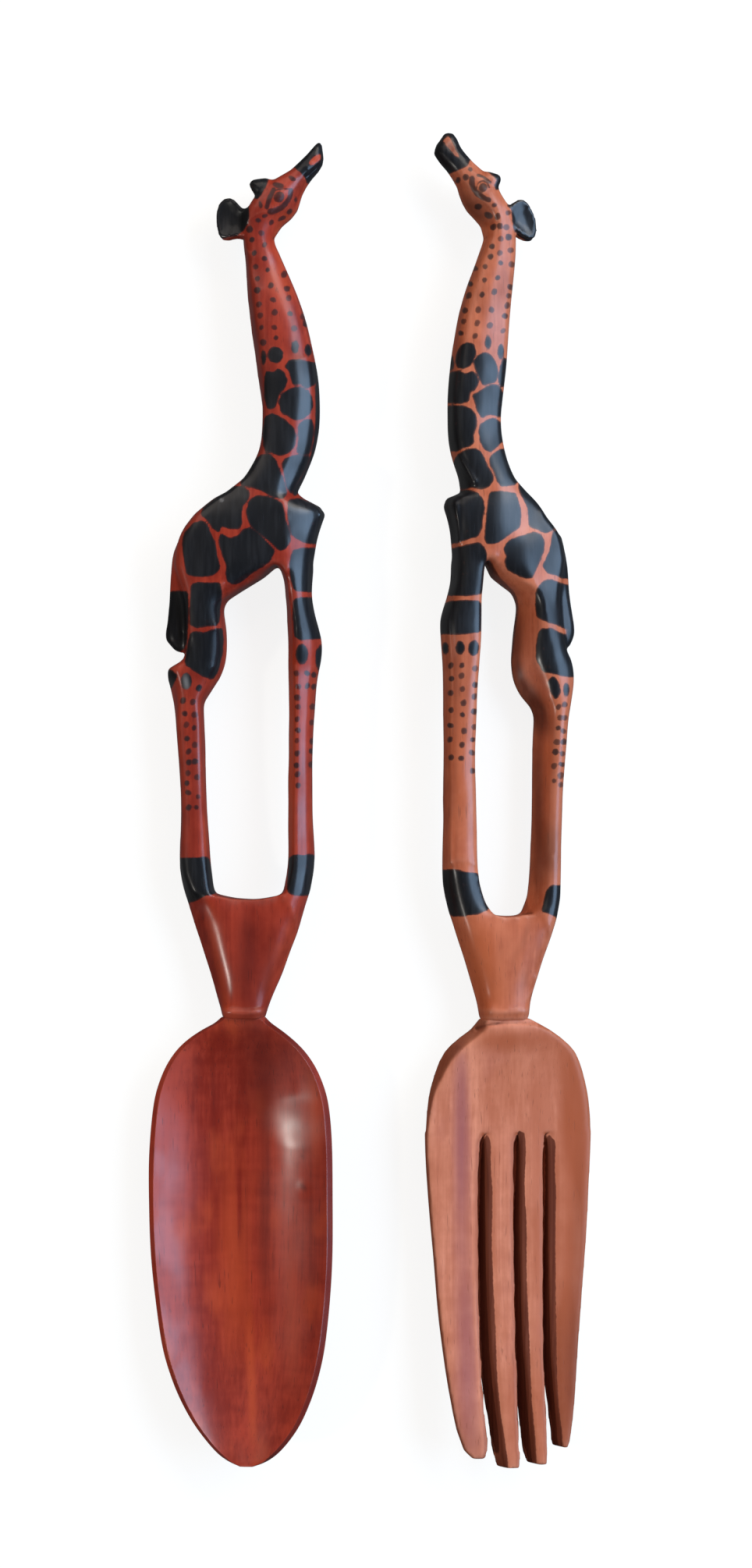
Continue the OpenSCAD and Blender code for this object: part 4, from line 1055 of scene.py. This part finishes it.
# Carving, step by step: the tool, and where it works in photo pixels; heights and depths in millimetres
SPOON_CARVING = {
    "neck_plane": (rub_front, RUB_LONG, [(341, 302, 30), (355, 345, 32), (367, 385, 34), (378, 425, 36)]),
    "snout_and_thigh": (rub_front, RUB_ROUND, [(378, 232, 22), (272, 775, 24), (268, 830, 24)]),
    "front_leg": (rub_front, RUB_ROUND, [(391, y, 26) for y in range(650, 860, 30)]),
    "thigh_ridge": (groove, [(284, 748), (284, 775), (283, 802)], 5, -0.4),
    "eye": (lift_spot, 358, 253, 13, 13, 0.45),
    "nostril": (lift_spot, 404, 205, 8, 7, -0.2),
    "mouth": (groove, [(392, 226), (403, 217), (413, 208)], 4, 0.5),
    "yoke_dish": (groove, [(324, 1150), (320, 1215)], 40, 0.9),
    "yoke_channel": (groove, [(320, 1200), (315, 1284)], 18, 0.6),
    "yoke_plane": (rub_front, RUB_LONG, [(314, 1195, 66), (312, 1248, 50)]),
    "collar_ridge": (groove, [(284, 1296), (312, 1298), (340, 1296)], 6, -0.4),
}
FORK_CARVING = {
    "eye": (lift_spot, 619, 241, 11, 11, 0.45),
    "nostril": (lift_spot, 578, 189, 8, 9, -0.2),
    "chest_ridge": (groove, [(583, 644), (585, 668), (587, 694)], 8, -0.9),
    "neck_ridge": (groove, [(588, 586), (597, 600), (608, 617)], 7, -0.65),
    "front_leg_ridge": (groove, [(573, 796), (575, 830), (576, 880), (575, 980), (576, 1110)], 7, -0.6),
    "collar_ridge": (groove, [(612, 1295), (645, 1297), (678, 1295)], 7, -0.35),
    "shoulder_and_flank": (rub_front, RUB_ROUND, [(648, 664, 46), (676, 706, 40)]),
    "yoke_plane": (rub_front, RUB_LONG, [(640, 1205, 66), (645, 1250, 42), (592, 1140, 36)]),
    "shoulder_swell": (lift_spot, 646, 662, 40, 46, 0.5),
    "flank_swell": (lift_spot, 676, 706, 34, 36, 0.6),
}


def carve_giraffe(name, nodes, head, crisp, carving):
    """The carved giraffe of one server, from the yoke up."""
    obj = block(name, nodes, GIRAFFE_GRID)
    refine(obj, head)
    rub_down(obj, RUB_ALL)
    rub_down(obj, RUB_SOFT, crisp.values())
    hand_cut(obj, *GIRAFFE_CUTS)
    for tool, *where in carving.values():
        tool(obj, *where)
    return obj


def paint_giraffe(obj, marks, streaks, dull, rubbed):
    """Black paint, the wood's own tones, and painted light and shade on a carved giraffe."""
    at = photo_place(read(obj.data))
    depth, cover = paint_depth(at, *marks)
    put(obj, "paint", depth)
    put(obj, "cover", cover)
    put(obj, "tone", streak_tone(at, streaks))
    put(obj, "dull", streak_tone(at, dull))
    put(obj, "rubbed", streak_tone(at, rubbed))
    put(obj, "sawn", np.zeros(len(at)))
    put(obj, "slot", np.full(len(at), -PAINT_REACH))


def leave_bare(obj, tone, dull, sawn, slot):
    """Wood without paint: one value a vertex for each, or one value for all."""
    count = len(obj.data.vertices)
    put(obj, "paint", np.full(count, -PAINT_REACH))
    put(obj, "cover", np.ones(count))
    put(obj, "tone", tone)
    put(obj, "dull", dull)
    put(obj, "sawn", np.broadcast_to(sawn, count))
    put(obj, "slot", np.broadcast_to(slot, count))


# Giraffe of the spoon

spoon_giraffe = carve_giraffe("spoon_giraffe", SPOON_GIRAFFE, SPOON_HEAD, SPOON_CRISP, SPOON_CARVING)
paint_giraffe(spoon_giraffe, (SPOON_PATCHES, SPOON_OVALS, SPOON_DOTS, SPOON_STROKES, SPOON_BARE),
              SPOON_STREAKS, SPOON_DULL, SPOON_RUBBED)
finish_piece(spoon_giraffe, "spoon", SPOON_GIRAFFE, spoon_finish)


# Bowl of the spoon: the CAD sections under a smooth surface, with a firm rim

# Largest angles at which two triangles are joined into a face of four sides
JOIN_TURN = math.radians(30)
JOIN_SHAPE = math.radians(60)
# Edges that turn more than this are the rim, and how firm they stay under the smooth surface
RIM_ANGLE = math.radians(32)
RIM_CREASE = 0.55
BOWL_LEVELS = 3
# Middle, half width and half height in photo pixels, and height in millimetres
BOWL_SWELL = (384, 1438, 56, 36, 0.32)
BOWL_DENT = (389, 1524, 13, 16, -0.10)
# Right of this photo pixel the rim's outer side gets painted shade: how dark, and from which turn to the
# right
RIM_RIGHT = 340
RIM_SHADE = 0.75
RIM_TURNED = (0.05, 5)
scoop = raw_copy("spoon_scoop", ["spoon_bowl"], SPOON_COLLAR)
work = bmesh.new()
work.from_mesh(scoop.data)
bmesh.ops.join_triangles(work, faces=work.faces, angle_face_threshold=JOIN_TURN,
                         angle_shape_threshold=JOIN_SHAPE)
firm = work.edges.layers.float.new("crease_edge")
for edge in work.edges:
    if len(edge.link_faces) == 2 and edge.calc_face_angle() > RIM_ANGLE:
        edge[firm] = RIM_CREASE
work.to_mesh(scoop.data)
work.free()
smooth = scoop.modifiers.new("smooth", "SUBSURF")
smooth.levels = BOWL_LEVELS
smooth.render_levels = BOWL_LEVELS
settle(scoop)
hand_cut(scoop, *BOWL_CUTS)
lift_spot(scoop, *BOWL_SWELL)
lift_spot(scoop, *BOWL_DENT)
at = photo_place(read(scoop.data))
# Painted shade on the outer side of the rim at the right
rim_shade = rising(read(scoop.data, "normal")[:, 0], *RIM_TURNED) * (at[:, 0] > RIM_RIGHT)
tone = streak_tone(at, SPOON_STREAKS) - RIM_SHADE * rim_shade
leave_bare(scoop, tone, streak_tone(at, SPOON_DULL), 0, -PAINT_REACH)
finish_piece(scoop, "spoon", ["spoon_bowl"], bowl_finish)


# Giraffe of the fork

fork_giraffe = carve_giraffe("fork_giraffe", FORK_GIRAFFE, FORK_HEAD, FORK_CRISP, FORK_CARVING)
paint_giraffe(fork_giraffe, (FORK_PATCHES, FORK_OVALS, FORK_DOTS, FORK_STROKES, FORK_BARE),
              FORK_STREAKS, FORK_DULL, {})
finish_piece(fork_giraffe, "fork", FORK_GIRAFFE, fork_finish)


# Tines: the slots are sawn by hand, so their walls are a little uneven, and dark as sawn wood with painted
# shade

# Groove below the collar: points and half width in photo pixels, depth in millimetres
ROOT_GROOVE = ([(612, 1318), (628, 1313), (645, 1311), (670, 1310), (690, 1311), (703, 1316)], 6, 0.55)
# The slots' span across the fork and their closed end along it, in millimetres
SLOT_SPAN = (26.5, 49.5)
SLOT_END = -84.6
# How far the saw wobbled, in millimetres, and its waves a millimetre along each axis
SAW_WOBBLE = 0.30
SAW_WAVES = (0.2, 0.22, 0.1)
# How far the walls that face left lean over, in millimetres, and the photo's rows over which that ends
WALL_LEAN = 0.55
LEAN_END = (1740, 1830)
# Right of this photo column is the last slot, whose wall leans over by this share more
LAST_TINE = 690
LAST_LEAN = 0.8
# How dark the painted shade on the left wall is beside the sawn ones, and how dark and red the painted shade
# on the tines' right edges is
LEFT_WALL_SHADE = 0.75
RIGHT_EDGE_SHADE = 1.2
# From which turn, and how fast, a place counts as each kind of wall or edge
SAWN_TURNED = (0.40, 4)
LEFT_TURNED = (0.3, 3)
RIGHT_TURNED = (0.15, 3)
LEAN_TURNED = (0.2, 3)
tines = block("fork_tines", FORK_TINES, TINE_GRID, FORK_COLLAR)
rub_down(tines, RUB_TINES)
hand_cut(tines, *TINE_CUTS)
groove(tines, *ROOT_GROOVE)
place = read(tines.data)
at = photo_place(place)
normal = read(tines.data, "normal")
between = (place[:, 0] > SLOT_SPAN[0]) & (place[:, 0] < SLOT_SPAN[1]) & (place[:, 1] < SLOT_END)
last = at[:, 0] > LAST_TINE
# Sawn walls between the tines, dark as sawn wood and with painted shade
sawn = rising(1 - np.abs(normal[:, 2]), *SAWN_TURNED) * between
# Painted shade on walls that face left
left_wall_shade = rising(-normal[:, 0], *LEFT_TURNED) * ~between
# Painted shade, dark and red, on the tines' right edges
right_edge_shade = rising(normal[:, 0], *RIGHT_TURNED) * (between | last)
lean = rising(-normal[:, 0], *LEAN_TURNED) * (1 + LAST_LEAN * last)
lean *= np.clip((LEAN_END[1] - at[:, 1]) / (LEAN_END[1] - LEAN_END[0]), 0, 1)
wave = [mathutils.noise.noise(point) for point in (place * SAW_WAVES).tolist()]
place[:, 0] += SAW_WOBBLE * np.array(wave) * sawn - WALL_LEAN * lean * between
write(tines.data, place)
moved = photo_place(place)
slot = in_millimetres(deepest(moved, patch_marks(moved, SLOT_WALLS))[0])
dark_walls_and_shade = np.max([sawn, left_wall_shade * LEFT_WALL_SHADE, streak_tone(at, TINE_SHADE)], axis=0)
tone = streak_tone(at, FORK_STREAKS) + RIGHT_EDGE_SHADE * right_edge_shade
leave_bare(tines, tone, streak_tone(at, FORK_DULL), dark_walls_and_shade, slot)
finish_piece(tines, "fork", FORK_TINES, tine_finish)


# Stage, light and camera

# Half width of the floor, in metres, its two paper colours and its own light
FLOOR_HALF = 8.0
PAPER_DARK = (0.21, 0.205, 0.19, 1)
PAPER_LIGHT = (0.24, 0.235, 0.22, 1)
PAPER_ROUGHNESS = 0.9
PAPER_WHITE = (1.0, 1.0, 1.0, 1)
PAPER_LIT = 0.86
ROOM_COLOUR = (0.95, 0.97, 1.0, 1)
ROOM_LIGHT = 0.08
# Lamps: place and size in metres, power in watts, colour
LAMPS = {
    "window_right": ((1.10, 0.15, 0.80), (1.4, 1.0), 24, (0.45, 0.68, 1.0)),
    "window_top": ((0.80, 1.05, 1.0), (1.2, 0.7), 11, (1.0, 0.92, 0.82)),
    "ceiling_left": ((-0.50, 1.05, 1.05), (1.3, 1.2), 4.5, (1.0, 0.88, 0.78)),
    "lamp_left": ((-1.0, -0.42, 0.75), (0.14, 0.06), 3.8, (1.0, 0.95, 0.88)),
}


def softbox(name, place, size, power, colour):
    """A flat lamp that faces the middle of the pair."""
    lamp = bpy.data.lights.new(name, "AREA")
    lamp.shape = "RECTANGLE"
    lamp.size = size[0]
    lamp.size_y = size[1]
    lamp.energy = power
    lamp.color = colour
    obj = bpy.data.objects.new(name, lamp)
    obj.location = place
    towards = -obj.location
    obj.rotation_mode = "QUATERNION"
    obj.rotation_quaternion = towards.to_track_quat("-Z", "Y")
    scene.collection.objects.link(obj)


floor_mesh = bpy.data.meshes.new("floor")
sheet = bmesh.new()
bmesh.ops.create_grid(sheet, x_segments=2, y_segments=2, size=FLOOR_HALF)
sheet.to_mesh(floor_mesh)
sheet.free()
floor = bpy.data.objects.new("floor", floor_mesh)
scene.collection.objects.link(floor)
paper = Kit("floor_paper")
paper_colour = paper.mix(paper.pattern("paper", paper.place()), PAPER_DARK, PAPER_LIGHT)
floor.data.materials.append(paper.finish(Base_Color=paper_colour, Roughness=PAPER_ROUGHNESS,
                                         Emission_Color=PAPER_WHITE, Emission_Strength=PAPER_LIT))
floor.visible_diffuse = False
floor.visible_glossy = False

scene.view_settings.view_transform = "Standard"
world = bpy.data.worlds.new("studio")
scene.world = world
world.use_nodes = True
room = world.node_tree.nodes["Background"]
room.inputs["Color"].default_value = ROOM_COLOUR
room.inputs["Strength"].default_value = ROOM_LIGHT
for name, lamp in LAMPS.items():
    softbox(name, *lamp)

eye = bpy.data.cameras.new("photo_view")
eye.sensor_width = SENSOR
eye.lens = SENSOR * PHOTO_LENS / max(PHOTO_SIZE)
camera = bpy.data.objects.new("photo_view", eye)
camera.location = [v * MM for v in EYE]
scene.collection.objects.link(camera)
scene.camera = camera
